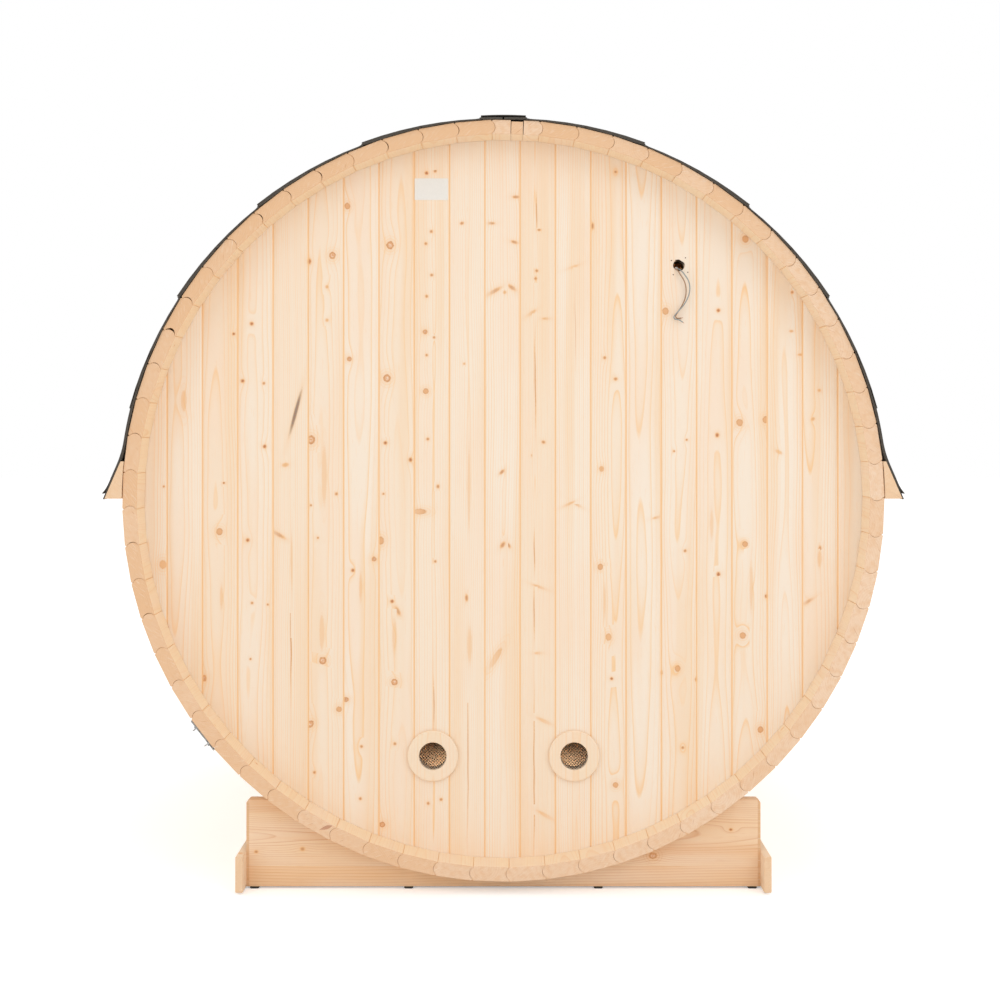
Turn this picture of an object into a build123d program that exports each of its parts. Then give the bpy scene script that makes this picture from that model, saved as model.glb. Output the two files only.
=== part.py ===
from build123d import *
import os
from math import acos, asin, cos, degrees, radians, sin, sqrt

# A barrel sauna lying on two saddle boards: staves, end walls, steel bands and a shingle roof.
# +Y runs along the barrel from the rear wall to the door, +X is to the right seen from the rear,
# +Z is up. The origin is on the ground, under the middle of the barrel. Lengths are in millimetres,
# angles in degrees, clockwise from the top as seen from the rear.

# Barrel of bead and cove staves
barrel_length = 2000.0
barrel_across_flats = 1900.0
stave_thickness = 36.0
stave_count = 63
stave_gap = 0.4
bead_height = 8.0
bead_width = 29.0
bead_facets = 3
stave_chamfer = 3.0

# Closing pieces at the top: two staves ripped down, and a strip between them
left_trimmed_width = 49.0
right_trimmed_width = 42.0
closing_strip_width = 30.0
closing_strip_drop = 3.5
closing_angle = 1.9

# End walls, held in a groove round the inside of the staves
wall_thickness = 36.0
wall_recess = 90.0
groove_depth = 10.0
groove_clearance = 0.4
board_width = 90.0
board_shift = -2.5

# The rear wall's panels, and each joint's place in boards to the right of the middle board
rear_panel_names = ["left", "middle_left", "middle_right", "right"]
rear_panel_ends = [-4, -1, 3]

# Round vents near the foot of the rear wall
vent_bore = 70.0
vent_ring_diameter = 130.0
vent_ring_thickness = 10.0
vent_ring_chamfer = 3.0
vent_spacing = 360.0
vent_above_floor = 260.0

# Cable hole high in the rear wall, and the lead that hangs from it
cable_hole_diameter = 30.0
cable_hole_angle = 36.9
cable_hole_inset = 169.0
sheath_diameter = 9.0
sheath_seat = 0.3
sheath_side_angle = 215.0
sheath_setback = 8.0
lead_diameter = 3.0
lead_sides = 6

# Saddle boards, the rails that tie them, and the rubber pads under them
cradle_width = 1300.0
cradle_height = 220.0
cradle_thickness = 36.0
cradle_web = 27.0
cradle_band_gap = 1.0
cradle_corner = 7.0
saddle_clearance = 0.3
rail_height = 90.0
rail_thickness = 19.0
pad_height = 5.0
pad_width = 22.0
pad_chamfer = 3.0
outer_pad_inset = 20.0
inner_pad_offset = 240.0

# Steel bands and their tension bolts
band_width = 30.0
band_thickness = 1.0
band_clearance = 0.3
tensioner_angle = 231.8
lug_spacing = 52.0
lug_height = 40.0
lug_thickness = 3.0
lug_chamfer = 8.0
bolt_diameter = 6.0
bolt_length = 96.0
bolt_height = 28.0
bolt_clearance = 0.3
nut_across_flats = 10.0
nut_height = 5.0

# Roof of overlapping shingle courses, with a ridge cap and flared eaves
sheet_thickness = 4.0
sheet_clearance = 0.5
course_count = 4
course_lap = 53.0
ridge_cap_width = 113.0
ridge_gap = 4.0
eaves_show = 231.0
eaves_bend_radius = 250.0
eaves_overhang = 6.0
roof_overhang = 4.0
batten_width = 42.0
batten_height = 93.0
batten_tip = 1.5
batten_rise = 5.0
batten_clearance = 0.3

# Doorway in the front wall, its frame, and the door
doorway_width = 640.0
doorway_corner_margin = 52.0
frame_thickness = 30.0
frame_proud_outside = 12.0
frame_proud_inside = 8.0
door_gap = 3.0
door_thickness = 36.0
hinge_height = 80.0
hinge_leaf_width = 28.0
hinge_leaf_thickness = 2.5
hinge_knuckle_diameter = 10.0
hinge_from_end = 220.0
knob_diameter = 46.0
knob_sides = 16
knob_neck_diameter = 24.0
knob_length = 48.0
knob_neck_length = 20.0
knob_chamfer = 8.0
knob_from_edge = 70.0

# One overrun serves every cut
overrun = 5.0

# Sizes worked out from the ones above
flat_radius = barrel_across_flats / 2
inner_radius = flat_radius - stave_thickness
closing_width = left_trimmed_width + closing_strip_width + right_trimmed_width
closing_span = degrees(closing_width / flat_radius)
strip_angle = closing_angle + degrees((left_trimmed_width - right_trimmed_width) / 2 / flat_radius)
stave_pitch = (360 - closing_span) / stave_count
first_joint = closing_angle + closing_span / 2
half_pitch = radians(stave_pitch / 2)
corner_radius = flat_radius / cos(half_pitch)
arris_radius = sqrt(flat_radius**2 + (corner_radius * sin(half_pitch) - stave_chamfer) ** 2)
groove_radius = inner_radius + groove_depth
wall_radius = groove_radius - groove_clearance
wall_middle = barrel_length / 2 - wall_recess - wall_thickness / 2
wall_outer = wall_middle + wall_thickness / 2
wall_inner = wall_middle - wall_thickness / 2
saddle_radius = arris_radius + saddle_clearance
axis_height = pad_height + cradle_web + saddle_radius
cradle_middle = wall_middle + band_width / 2 + cradle_band_gap + cradle_thickness / 2
band_inner = arris_radius + band_clearance
band_outer = band_inner + band_thickness
roof_radius = band_outer + band_clearance
cap_half_angle = degrees(ridge_cap_width / 2 / roof_radius)
lowest_course_angle = 90 - degrees(eaves_show / roof_radius)
course_angle = (lowest_course_angle - cap_half_angle) / course_count
lap_angle = degrees(course_lap / roof_radius)
sheet_rise = sheet_thickness + sheet_clearance
roof_half_length = barrel_length / 2 + roof_overhang
doorway_half = doorway_width / 2
doorway_reach = sqrt((inner_radius - doorway_corner_margin) ** 2 - doorway_half**2)
frame_outer = wall_outer + frame_proud_outside
frame_inner = wall_inner - frame_proud_inside
vent_drop = inner_radius - vent_above_floor
vent_places = [(-vent_spacing / 2, -vent_drop), (vent_spacing / 2, -vent_drop)]

# Seen along the barrel from the rear: local x is right, y is up from the axis, z is towards -Y
barrel_plane = Plane(origin=(0, 0, axis_height), x_dir=(1, 0, 0), z_dir=(0, -1, 0))


def polar(angle, radius, offset=0.0):
    """The point at a clockwise angle and a radius, moved clockwise along the tangent by offset."""
    turn = radians(angle)
    return (radius * sin(turn) + offset * cos(turn), radius * cos(turn) - offset * sin(turn))


cable_hole_place = polar(cable_hole_angle, inner_radius - cable_hole_inset)


def lengthwise(section, y_start, y_end):
    """A section drawn about the barrel's axis, as a prism from y_start to y_end."""
    prism = extrude(section, amount=y_end - y_start)
    return barrel_plane * Pos(0, 0, -y_end) * prism


def outline(*edges):
    """A face inside edges that follow each other."""
    return make_face(Curve() + list(edges))


def mirrored(solid):
    """The same piece on the other side of the barrel."""
    return mirror(solid, about=Plane.YZ)


# Staves
def bead_line(angle, play):
    """The bead's curve on a joint, from the outside in, as a row of facets moved clockwise by play."""
    radius = (bead_width**2 / 4 + bead_height**2) / (2 * bead_height)
    half_arc = asin(bead_width / 2 / radius)
    middle = flat_radius - stave_thickness / 2
    points = []
    for step in range(bead_facets + 1):
        turn = half_arc * (1 - 2 * step / bead_facets)
        stand = bead_height - radius + radius * cos(turn)
        points.append(polar(angle, middle + radius * sin(turn), stand + play))
    return points


def stave_section():
    """A board planed to a wedge, with a bead on its clockwise edge and a cove on the other."""
    half = stave_pitch / 2
    play = stave_gap / 2
    chamfer_radius = corner_radius - stave_chamfer
    inner_corner = inner_radius / cos(half_pitch)
    outer_half = corner_radius * sin(half_pitch) - stave_chamfer

    def side(angle, shift):
        outer_end = polar(angle, chamfer_radius, shift)
        inner_end = polar(angle, inner_corner, shift)
        return [outer_end, *bead_line(angle, shift), inner_end]

    clockwise_side = side(half, -play)
    other_side = side(-half, play)
    outer_face = [(-outer_half, flat_radius), (outer_half, flat_radius)]
    return make_face(Polyline(*outer_face, *clockwise_side, *reversed(other_side), close=True))


def grooved(section):
    """A stave's full length of a section, with the groove for an end wall milled across near both ends."""
    stave = Pos(0, 0, -barrel_length / 2) * extrude(section, amount=barrel_length)
    reach = groove_depth + overrun
    groove_span = 2 * stave_thickness + barrel_across_flats * sin(half_pitch)
    groove = Box(groove_span, reach, wall_thickness + 2 * groove_clearance)
    for middle in (wall_middle, -wall_middle):
        stave -= Pos(0, groove_radius - reach / 2, middle) * groove
    return stave


def stave_groups():
    """The whole staves in order round the barrel, every second one apart, by the side they are on."""
    stave = grooved(stave_section())
    sides = ["roof", "right", "floor", "left"]
    groups = {f"{side}_staves_{turn}": [] for side in sides for turn in ("odd", "even")}
    quarter = 360 / len(sides)
    for number in range(stave_count):
        angle = first_joint + (number + 0.5) * stave_pitch
        side = sides[int((angle + quarter / 2) // quarter) % len(sides)]
        turn = "even" if number % 2 else "odd"
        groups[f"{side}_staves_{turn}"].append(barrel_plane * Rot(0, 0, -angle) * stave)
    return groups


def closing_pieces():
    """The two trimmed staves and the strip that is driven in between them, near the top."""
    whole = grooved(stave_section())
    cut = closing_strip_width / 2 + stave_gap
    waste_width = barrel_across_flats
    waste = Box(waste_width, 2 * barrel_across_flats, barrel_length + overrun)
    half_turn = (closing_span - stave_pitch) / 2
    left_turn = half_turn + strip_angle - closing_angle
    right_turn = half_turn - strip_angle + closing_angle
    left = Rot(0, 0, left_turn) * whole - Pos(waste_width / 2 - cut, 0, 0) * waste
    right = Rot(0, 0, -right_turn) * whole - Pos(cut - waste_width / 2, 0, 0) * waste
    strip_height = stave_thickness - closing_strip_drop
    strip = Pos(0, inner_radius + strip_height / 2) * Rectangle(closing_strip_width, strip_height)
    place = barrel_plane * Rot(0, 0, -strip_angle)
    return [place * left, place * right], place * grooved(strip)


# End walls
def rear_wall():
    """The rear disc, pierced by two vents and the cable hole, in panels that part at board joints."""
    disc = Circle(wall_radius)
    for place in vent_places:
        disc -= Pos(*place) * Circle(vent_bore / 2)
    disc -= Pos(*cable_hole_place) * Circle(cable_hole_diameter / 2)
    joints = [board_shift + (boards + 0.5) * board_width for boards in rear_panel_ends]
    edges = [-wall_radius - overrun, *joints, wall_radius + overrun]
    panels = {}
    for name, start, end in zip(rear_panel_names, edges, edges[1:]):
        field = Pos((start + end) / 2, 0) * Rectangle(end - start, 2 * wall_radius + overrun)
        panels[f"rear_wall_{name}"] = lengthwise(disc & field, -wall_outer, -wall_inner)
    return panels


def front_wall():
    """The front disc in four pieces round the doorway."""
    disc = Circle(wall_radius)
    span = 2 * wall_radius
    left_field = Pos(-doorway_half - span / 2, 0) * Rectangle(span, span)
    over_field = Pos(0, doorway_reach + span / 2) * Rectangle(doorway_width, span)
    under_field = Pos(0, -doorway_reach - span / 2) * Rectangle(doorway_width, span)
    left = lengthwise(disc & left_field, wall_inner, wall_outer)
    return {
        "front_wall_left": left,
        "front_wall_right": mirrored(left),
        "front_wall_over_door": lengthwise(disc & over_field, wall_inner, wall_outer),
        "front_wall_under_door": lengthwise(disc & under_field, wall_inner, wall_outer),
    }


def vent_rings():
    """Turned rings round the vents, eased at the rim, flat on the wall."""
    ring = extrude(Circle(vent_ring_diameter / 2) - Circle(vent_bore / 2), amount=vent_ring_thickness)
    rim = ring.edges().filter_by(GeomType.CIRCLE).group_by(Axis.Z)[-1].sort_by(SortBy.RADIUS)[-1]
    ring = chamfer(rim, length=vent_ring_chamfer)
    return [barrel_plane * Pos(*place, wall_outer) * ring for place in vent_places]


# Door
def door_frame():
    """The jambs, full height, and the head and sill between them."""
    depth = (frame_inner, frame_outer)
    jamb = Rectangle(frame_thickness, 2 * doorway_reach)
    rail = Rectangle(doorway_width - 2 * frame_thickness, frame_thickness)
    side = doorway_half - frame_thickness / 2
    rise = doorway_reach - frame_thickness / 2
    jambs = [lengthwise(Pos(x, 0) * jamb, *depth) for x in (-side, side)]
    head_and_sill = [lengthwise(Pos(0, y) * rail, *depth) for y in (rise, -rise)]
    return jambs, head_and_sill


leaf_half_width = doorway_half - frame_thickness - door_gap
leaf_half_height = doorway_reach - frame_thickness - door_gap
hinge_side = leaf_half_width + door_gap / 2


def door_leaf():
    """The closed leaf, flush with the outside of its frame."""
    leaf = Rectangle(2 * leaf_half_width, 2 * leaf_half_height)
    return lengthwise(leaf, frame_outer - door_thickness, frame_outer)


def door_hinges():
    """Two butt hinges on the outside, over the gap between leaf and jamb."""
    on_the_face = (Align.CENTER, Align.MIN, Align.CENTER)
    plates = Box(2 * hinge_leaf_width, hinge_leaf_thickness, hinge_height, align=on_the_face)
    knuckle = Pos(0, hinge_knuckle_diameter / 2, 0) * Cylinder(hinge_knuckle_diameter / 2, hinge_height)
    hinge = plates + knuckle
    rise = leaf_half_height - hinge_from_end
    return [Pos(hinge_side, frame_outer, axis_height + z) * hinge for z in (rise, -rise)]


def door_knob():
    """A turned knob at the free edge of the leaf."""
    neck = extrude(RegularPolygon(knob_neck_diameter / 2, knob_sides), amount=knob_neck_length)
    head = extrude(RegularPolygon(knob_diameter / 2, knob_sides), amount=knob_length - knob_neck_length)
    ends = head.faces().sort_by(Axis.Z)
    head = chamfer(ends[0].edges() + ends[-1].edges(), length=knob_chamfer)
    knob = neck + Pos(0, 0, knob_neck_length) * head
    return Pos(knob_from_edge - leaf_half_width, frame_outer, axis_height) * Rot(-90, 0, 0) * knob


# Base
def cradle():
    """A board with its top hollowed to the barrel and its upper corners cut off."""
    half = cradle_width / 2
    foot = pad_height - axis_height
    top = foot + cradle_height
    board = Polyline(
        (-half, foot),
        (half, foot),
        (half, top - cradle_corner),
        (half - cradle_corner, top),
        (cradle_corner - half, top),
        (-half, top - cradle_corner),
        close=True,
    )
    saddle = make_face(board) - Circle(saddle_radius)
    rear = lengthwise(saddle, -cradle_middle - cradle_thickness / 2, cradle_thickness / 2 - cradle_middle)
    return rear, mirror(rear, about=Plane.XZ)


def base_rails():
    """Boards on edge along both ends of the saddles."""
    side = (cradle_width + rail_thickness) / 2
    rail = Box(rail_thickness, barrel_length, rail_height)
    return [Pos(x, 0, pad_height + rail_height / 2) * rail for x in (-side, side)]


def foot_pads(y):
    """Four rubber pads under one saddle board."""
    pad = Box(pad_width, cradle_thickness, pad_height)
    pad = chamfer(pad.edges().filter_by(Axis.Z), length=pad_chamfer)
    outer = cradle_width / 2 - outer_pad_inset
    return [Pos(x, y, pad_height / 2) * pad for x in (-outer, -inner_pad_offset, inner_pad_offset, outer)]


# Steel bands
def tension_band(y):
    """A hoop open between its lugs, the two lugs welded on its ends, and the bolt that draws them in."""
    place = barrel_plane * Pos(0, 0, -y) * Rot(0, 0, -tensioner_angle)
    lug_outer = lug_spacing / 2
    opening = Pos(0, band_outer) * Rectangle(lug_spacing, 2 * (band_outer - inner_radius))
    hoop_section = Circle(band_outer) - Circle(band_inner) - opening
    hoop = Pos(0, 0, -band_width / 2) * extrude(hoop_section, amount=band_width)

    # Each lug stands on the outside of the band's end
    lug_foot = sqrt(band_outer**2 - (lug_outer - lug_thickness) ** 2)
    bolt_centre = lug_foot + bolt_height
    plate = Pos(0, lug_foot + lug_height / 2, 0) * Box(lug_thickness, lug_height, band_width)
    tops = plate.edges().filter_by(Axis.X).group_by(Axis.Y)[-1]
    plate = chamfer(tops, length=lug_chamfer)
    hole_radius = bolt_diameter / 2 + bolt_clearance
    hole = Pos(0, bolt_centre, 0) * Rot(0, 90, 0) * Cylinder(hole_radius, lug_thickness + overrun)
    lug_side = lug_outer - lug_thickness / 2
    lugs = [Pos(x, 0, 0) * (plate - hole) for x in (-lug_side, lug_side)]

    shank = Rot(0, 90, 0) * Cylinder(bolt_diameter / 2, bolt_length)
    nut = extrude(RegularPolygon(nut_across_flats / 2, 6, major_radius=False), amount=nut_height)
    bolt = shank + Pos(lug_outer, 0, 0) * Rot(0, 90, 0) * nut + Pos(-lug_outer, 0, 0) * Rot(0, -90, 0) * nut
    bolt = Pos(0, bolt_centre, 0) * bolt
    return place * hoop, [place * lug for lug in lugs], place * bolt


# Roof
def sheet_section(lower, upper, lift_lower, lift_upper):
    """A sheet bent round the barrel, its underside rising from lift_upper to lift_lower."""
    middle = (lower + upper) / 2
    lift_middle = (lift_lower + lift_upper) / 2
    stations = [(lower, lift_lower), (middle, lift_middle), (upper, lift_upper)]
    under = [polar(angle, roof_radius + lift) for angle, lift in stations]
    over = [polar(angle, roof_radius + lift + sheet_thickness) for angle, lift in stations]
    upper_edge = Line(under[2], over[2])
    lower_edge = Line(over[0], under[0])
    return outline(ThreePointArc(*under), upper_edge, ThreePointArc(*reversed(over)), lower_edge)


def roof_course(number):
    """One course on the right, counted from the ridge, lapping over the course below, and its twin."""
    lower = cap_half_angle + number * course_angle
    upper = max(lower - course_angle - lap_angle, degrees(ridge_gap / 2 / roof_radius))
    lift = sheet_rise * (lower - upper) / course_angle
    right = lengthwise(sheet_section(lower, upper, lift, 0), -roof_half_length, roof_half_length)
    return [right, mirrored(right)]


def ridge_cap():
    """The strip that covers the joint of the two top courses."""
    lift = sheet_rise * (1 + cap_half_angle / course_angle)
    cap = sheet_section(cap_half_angle, -cap_half_angle, lift, lift)
    return lengthwise(cap, -roof_half_length, roof_half_length)


batten_foot = (roof_radius + batten_width, batten_rise)
batten_head = (roof_radius + batten_tip, batten_rise + batten_height)


def eaves_battens():
    """A wedge against each side of the barrel, which kicks the eaves out."""
    inner_foot = (roof_radius, batten_rise)
    inner_head = (roof_radius, batten_rise + batten_height)
    wedge = make_face(Polyline(inner_foot, batten_foot, batten_head, inner_head, close=True))
    right = lengthwise(wedge, -roof_half_length, roof_half_length)
    return [mirrored(right), right]


def eaves_strip():
    """The lowest sheet: round the barrel, a hollow bend, then straight down over the batten's slope."""
    run = (batten_foot[0] - batten_head[0], batten_foot[1] - batten_head[1])
    slope_length = sqrt(run[0] ** 2 + run[1] ** 2)
    down = (run[0] / slope_length, run[1] / slope_length)
    out = (-down[1], down[0])
    slope_distance = out[0] * batten_foot[0] + out[1] * batten_foot[1] + batten_clearance
    foot_along = down[0] * batten_foot[0] + down[1] * batten_foot[1] + eaves_overhang

    # The bend touches the roof's circle from outside and the slope's line from above
    bend_reach = roof_radius + eaves_bend_radius
    bend_centre_along = sqrt(bend_reach**2 - (slope_distance + eaves_bend_radius) ** 2)
    slope_angle = degrees(acos(out[1]))
    touch_angle = slope_angle + degrees(asin(bend_centre_along / bend_reach))

    def on_slope(along, height):
        return (down[0] * along + out[0] * height, down[1] * along + out[1] * height)

    centre = on_slope(bend_centre_along, slope_distance + eaves_bend_radius)
    bend_middle_angle = (touch_angle + slope_angle) / 2
    upper = lowest_course_angle - lap_angle
    barrel_middle = (upper + touch_angle) / 2

    def side(lift):
        barrel = [polar(angle, roof_radius + lift) for angle in (upper, barrel_middle, touch_angle)]
        back = polar(bend_middle_angle, eaves_bend_radius - lift)
        bend = (centre[0] - back[0], centre[1] - back[1])
        touch = on_slope(bend_centre_along, slope_distance + lift)
        foot = on_slope(foot_along, slope_distance + lift)
        return barrel, bend, touch, foot

    under_barrel, under_bend, under_touch, under_foot = side(0)
    over_barrel, over_bend, over_touch, over_foot = side(sheet_thickness)
    section = outline(
        ThreePointArc(*under_barrel),
        ThreePointArc(under_barrel[2], under_bend, under_touch),
        Polyline(under_touch, under_foot, over_foot, over_touch),
        ThreePointArc(over_touch, over_bend, over_barrel[2]),
        ThreePointArc(*reversed(over_barrel)),
        Line(over_barrel[0], under_barrel[0]),
    )
    right = lengthwise(section, -roof_half_length, roof_half_length)
    return mirrored(right), right


# Lead: the two cores' routes, from the middle of the cable hole's mouth: right, inwards, up
grey_route = [
    (-3.8, 8.0, -8.4),
    (-3.8, -2.0, -8.4),
    (4.0, -11.0, -13.0),
    (14.0, -16.0, -26.0),
    (24.0, -17.0, -42.0),
    (27.0, -16.0, -62.0),
    (22.0, -15.0, -84.0),
    (10.0, -14.0, -104.0),
    (-3.0, -13.0, -118.0),
    (-10.5, -12.5, -126.5),
    (-14.8, -12.0, -133.0),
    (-11.5, -11.3, -138.5),
    (-4.5, -10.5, -138.5),
    (2.5, -9.8, -141.0),
    (8.6, -9.0, -145.5),
]
brown_route = [
    (-7.9, 8.0, -8.4),
    (-7.9, -1.0, -8.4),
    (-3.0, -8.5, -15.0),
    (4.0, -11.0, -27.0),
    (13.0, -11.5, -41.0),
    (17.5, -11.0, -60.0),
    (16.5, -10.0, -81.0),
    (9.0, -9.0, -100.0),
    (-1.0, -8.0, -116.0),
    (-7.0, -7.6, -125.0),
    (-9.8, -7.2, -131.0),
    (-6.5, -6.6, -135.5),
    (-0.5, -5.6, -136.0),
    (5.5, -4.6, -134.5),
]
bend_share = 0.45


def lead_core(route):
    """A core of few sides along straight runs joined by arcs as large as the runs allow."""
    x, z = cable_hole_place
    points = [Vector(x + right, inwards - wall_outer, axis_height + z + up) for right, inwards, up in route]
    runs = [after - before for before, after in zip(points, points[1:])]
    radii = []
    for before, after in zip(runs, runs[1:]):
        half_turn = radians(before.get_angle(after) / 2)
        radii.append(bend_share * min(before.length, after.length) * cos(half_turn) / sin(half_turn))
    print("lead bends", [round(radius, 1) for radius in radii])
    path = FilletPolyline(*points, radius=radii)
    section = RegularPolygon(lead_diameter / 2, lead_sides)
    core = sweep(Plane(path @ 0, z_dir=path % 0) * section, path=path)
    print("lead length", path.length)
    print("lead volume against section times length", core.volume / (section.area * path.length))
    return core


def lead_sheath():
    """The end of the cable's white sheath, lying in the hole, which both cores come out of."""
    drop = (cable_hole_diameter - sheath_diameter) / 2 - sheath_seat
    lie = polar(sheath_side_angle, drop)
    x, z = cable_hole_place
    length = wall_thickness - sheath_setback
    sheath = Cylinder(sheath_diameter / 2, length, align=(Align.CENTER, Align.CENTER, Align.MAX))
    return barrel_plane * Pos(x + lie[0], z + lie[1], wall_outer - sheath_setback) * sheath


def build():
    """Every node's name with its solids."""
    nodes = stave_groups()
    nodes["closing_staves"], nodes["closing_strip"] = closing_pieces()
    nodes.update(rear_wall())
    nodes.update(front_wall())
    nodes["door_jambs"], nodes["door_head_and_sill"] = door_frame()
    nodes["door_leaf"] = door_leaf()
    nodes["door_hinges"] = door_hinges()
    nodes["door_knob"] = door_knob()
    nodes["vent_rings"] = vent_rings()
    nodes["rear_cradle"], nodes["front_cradle"] = cradle()
    nodes["base_rails"] = base_rails()
    for end, sign in (("rear", -1), ("front", 1)):
        nodes[f"{end}_foot_pads"] = foot_pads(sign * cradle_middle)
        hoop, lugs, bolt = tension_band(sign * wall_middle)
        nodes[f"{end}_tension_band"] = hoop
        nodes[f"{end}_band_lugs"] = lugs
        nodes[f"{end}_band_bolt"] = bolt
    for number in range(1, course_count + 1):
        nodes[f"roof_course_{number}"] = roof_course(number)
    nodes["ridge_cap"] = ridge_cap()
    nodes["eaves_battens"] = eaves_battens()
    nodes["eaves_strip_left"], nodes["eaves_strip_right"] = eaves_strip()
    nodes["lead_sheath"] = lead_sheath()
    nodes["lead_grey"] = lead_core(grey_route)
    nodes["lead_brown"] = lead_core(brown_route)
    return nodes


os.makedirs("parts", exist_ok=True)
for name, solids in build().items():
    shape = Compound(children=solids) if isinstance(solids, list) else solids
    export_step(shape, f"parts/{name}.step")
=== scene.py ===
from math import acos, asin, cos, hypot, pi, radians, sin, sqrt, tau
import bmesh
import bpy
import numpy as np
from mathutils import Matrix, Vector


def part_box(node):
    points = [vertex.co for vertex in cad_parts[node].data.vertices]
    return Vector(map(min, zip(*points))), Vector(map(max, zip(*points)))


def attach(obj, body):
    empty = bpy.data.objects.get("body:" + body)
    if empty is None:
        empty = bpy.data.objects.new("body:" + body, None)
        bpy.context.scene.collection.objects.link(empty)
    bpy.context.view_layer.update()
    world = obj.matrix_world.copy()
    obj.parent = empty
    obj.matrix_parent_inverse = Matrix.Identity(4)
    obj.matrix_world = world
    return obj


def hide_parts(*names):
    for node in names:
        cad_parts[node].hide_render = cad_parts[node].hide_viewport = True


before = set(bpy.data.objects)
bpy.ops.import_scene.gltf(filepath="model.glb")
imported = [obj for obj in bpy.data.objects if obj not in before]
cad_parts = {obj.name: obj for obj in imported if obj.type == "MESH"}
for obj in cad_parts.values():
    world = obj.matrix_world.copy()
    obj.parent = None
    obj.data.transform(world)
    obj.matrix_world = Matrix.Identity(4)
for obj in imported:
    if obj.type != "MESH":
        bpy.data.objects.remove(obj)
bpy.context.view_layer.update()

print("frame loaded:", len(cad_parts), "nodes")

# metres; angles run clockwise from the top, seen from the rear, as in the part
wallLow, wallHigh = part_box("rear_wall_middle_left")
barrel = {
    "axis": (wallLow.z + wallHigh.z) / 2,
    "wallOut": -wallLow.y,  # outer and inner face of either end wall, from the middle
    "wallIn": -wallHigh.y,
    "wallRadius": 0.9236,
    "length": 2.0,
    "flat": 0.950,  # axis to the flat outside of a stave
    "thick": 0.036,
    "staves": 63,
    "leftTrim": 0.049,
    "rightTrim": 0.042,
    "strip": 0.030,
    "stripDrop": 0.0035,
    "closingAngle": radians(1.9),
    "gap": 0.0004,
    "grooveRoom": 0.0004,
}
barrel["inner"] = barrel["flat"] - barrel["thick"]
barrel["closingSpan"] = (barrel["leftTrim"] + barrel["strip"] + barrel["rightTrim"]) / barrel["flat"]
barrel["pitch"] = (tau - barrel["closingSpan"]) / barrel["staves"]
barrel["firstJoint"] = barrel["closingAngle"] + barrel["closingSpan"] / 2
trimLean = (barrel["leftTrim"] - barrel["rightTrim"]) / 2 / barrel["flat"]
barrel["stripAngle"] = barrel["closingAngle"] + trimLean


# Camera, floor and light
view = {
    "eye": (0.009, -5.0, 1.172),
    "lens": 57.75,
    "sensor": 36.0,
    "shift": (-0.007, -0.075),
    "worldLevel": 0.935,
    "floorSize": 60.0,
    "floorColour": (0.92, 0.92, 0.92, 1),
    "floorLift": 0.34,  # added for the camera, so that the lit floor is white
}
lamps = {
    "keySoftbox": {"place": (2.8, -5.2, 3.6), "aim": (0, -0.9, 1.0), "size": 3.6, "watts": 33},
    "fillSoftbox": {"place": (-3.4, -4.6, 2.2), "aim": (0, -0.9, 1.0), "size": 3.0, "watts": 14},
    "backSoftbox": {"place": (1.5, 5.5, 4.2), "aim": (0, 0.9, 1.0), "size": 3.6, "watts": 36},
    "insideLamp": {
        "place": (0, -0.35, 0.75), "aim": (0, 0.08, 0.07), "size": 0.12, "watts": 1.0, "spread": 0.75,
        "colour": (1.0, 0.77, 0.59),
    },
}


class Wire:
    # one socket of a material's nodes: sums on it add Math nodes, node() adds any other
    def __init__(self, tree, socket=None):
        self.tree = tree
        self.socket = socket

    def node(self, kind, settings=None, sockets=None, out=0):
        made = self.tree.nodes.new("ShaderNode" + kind)
        for key, value in (settings or {}).items():
            if key == "stops":
                self.setStops(made.color_ramp.elements, value)
            else:
                setattr(made, key, value)
        for key, value in (sockets or {}).items():
            if isinstance(value, Wire):
                self.tree.links.new(value.socket, made.inputs[key])
            else:
                made.inputs[key].default_value = value
        return Wire(self.tree, made.outputs[out] if made.outputs else None)

    @staticmethod
    def setStops(elements, stops):
        while len(elements) < len(stops):
            elements.new(0.5)
        for element, (place, level) in zip(elements, stops):
            element.position = place
            element.color = (level, level, level, 1)

    def of(self, out):
        return Wire(self.tree, self.socket.node.outputs[out])

    def maths(self, operation, *values):
        return self.node("Math", {"operation": operation}, dict(enumerate(values)))

    def __add__(self, other):
        return self.maths("ADD", self, other)

    def __sub__(self, other):
        return self.maths("SUBTRACT", self, other)

    def __rsub__(self, other):
        return self.maths("SUBTRACT", other, self)

    def __mul__(self, other):
        return self.maths("MULTIPLY", self, other)

    def __truediv__(self, other):
        return self.maths("DIVIDE", self, other)

    def __rtruediv__(self, other):
        return self.maths("DIVIDE", other, self)

    __radd__ = __add__
    __rmul__ = __mul__

    def mix(self, amount, first, second):
        return self.node("Mix", {"data_type": "RGBA"}, {0: amount, 6: first, 7: second}, out=2)

    def fade(self, start, end):
        # 0 at start, 1 at end, eased
        settings = {"interpolation_type": "SMOOTHSTEP"}
        return self.node("MapRange", settings, {"Value": self, "From Min": start, "From Max": end})

    def bell(self, middle, width):
        offset = (self - middle) / width
        return self.maths("EXPONENT", offset * offset * -1)

    def parts(self):
        split = self.node("SeparateXYZ", None, {0: self})
        return split, split.of("Y"), split.of("Z")

    def join(self, x, y, z):
        return self.node("CombineXYZ", None, {0: x, 1: y, 2: z})

    def carried(self, key, out="Fac"):
        # what a piece's points or faces carry
        return self.node("Attribute", {"attribute_name": key}, None, out=out)

    def noise(self, place, scale, detail=2.0, out="Fac"):
        sockets = {"Vector": place, "Scale": scale, "Detail": detail}
        return self.node("TexNoise", None, sockets, out=out)


def newFinish(name):
    finish = bpy.data.materials.new(name)
    finish.use_nodes = True
    finish.node_tree.nodes.clear()
    return finish, Wire(finish.node_tree)


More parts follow.
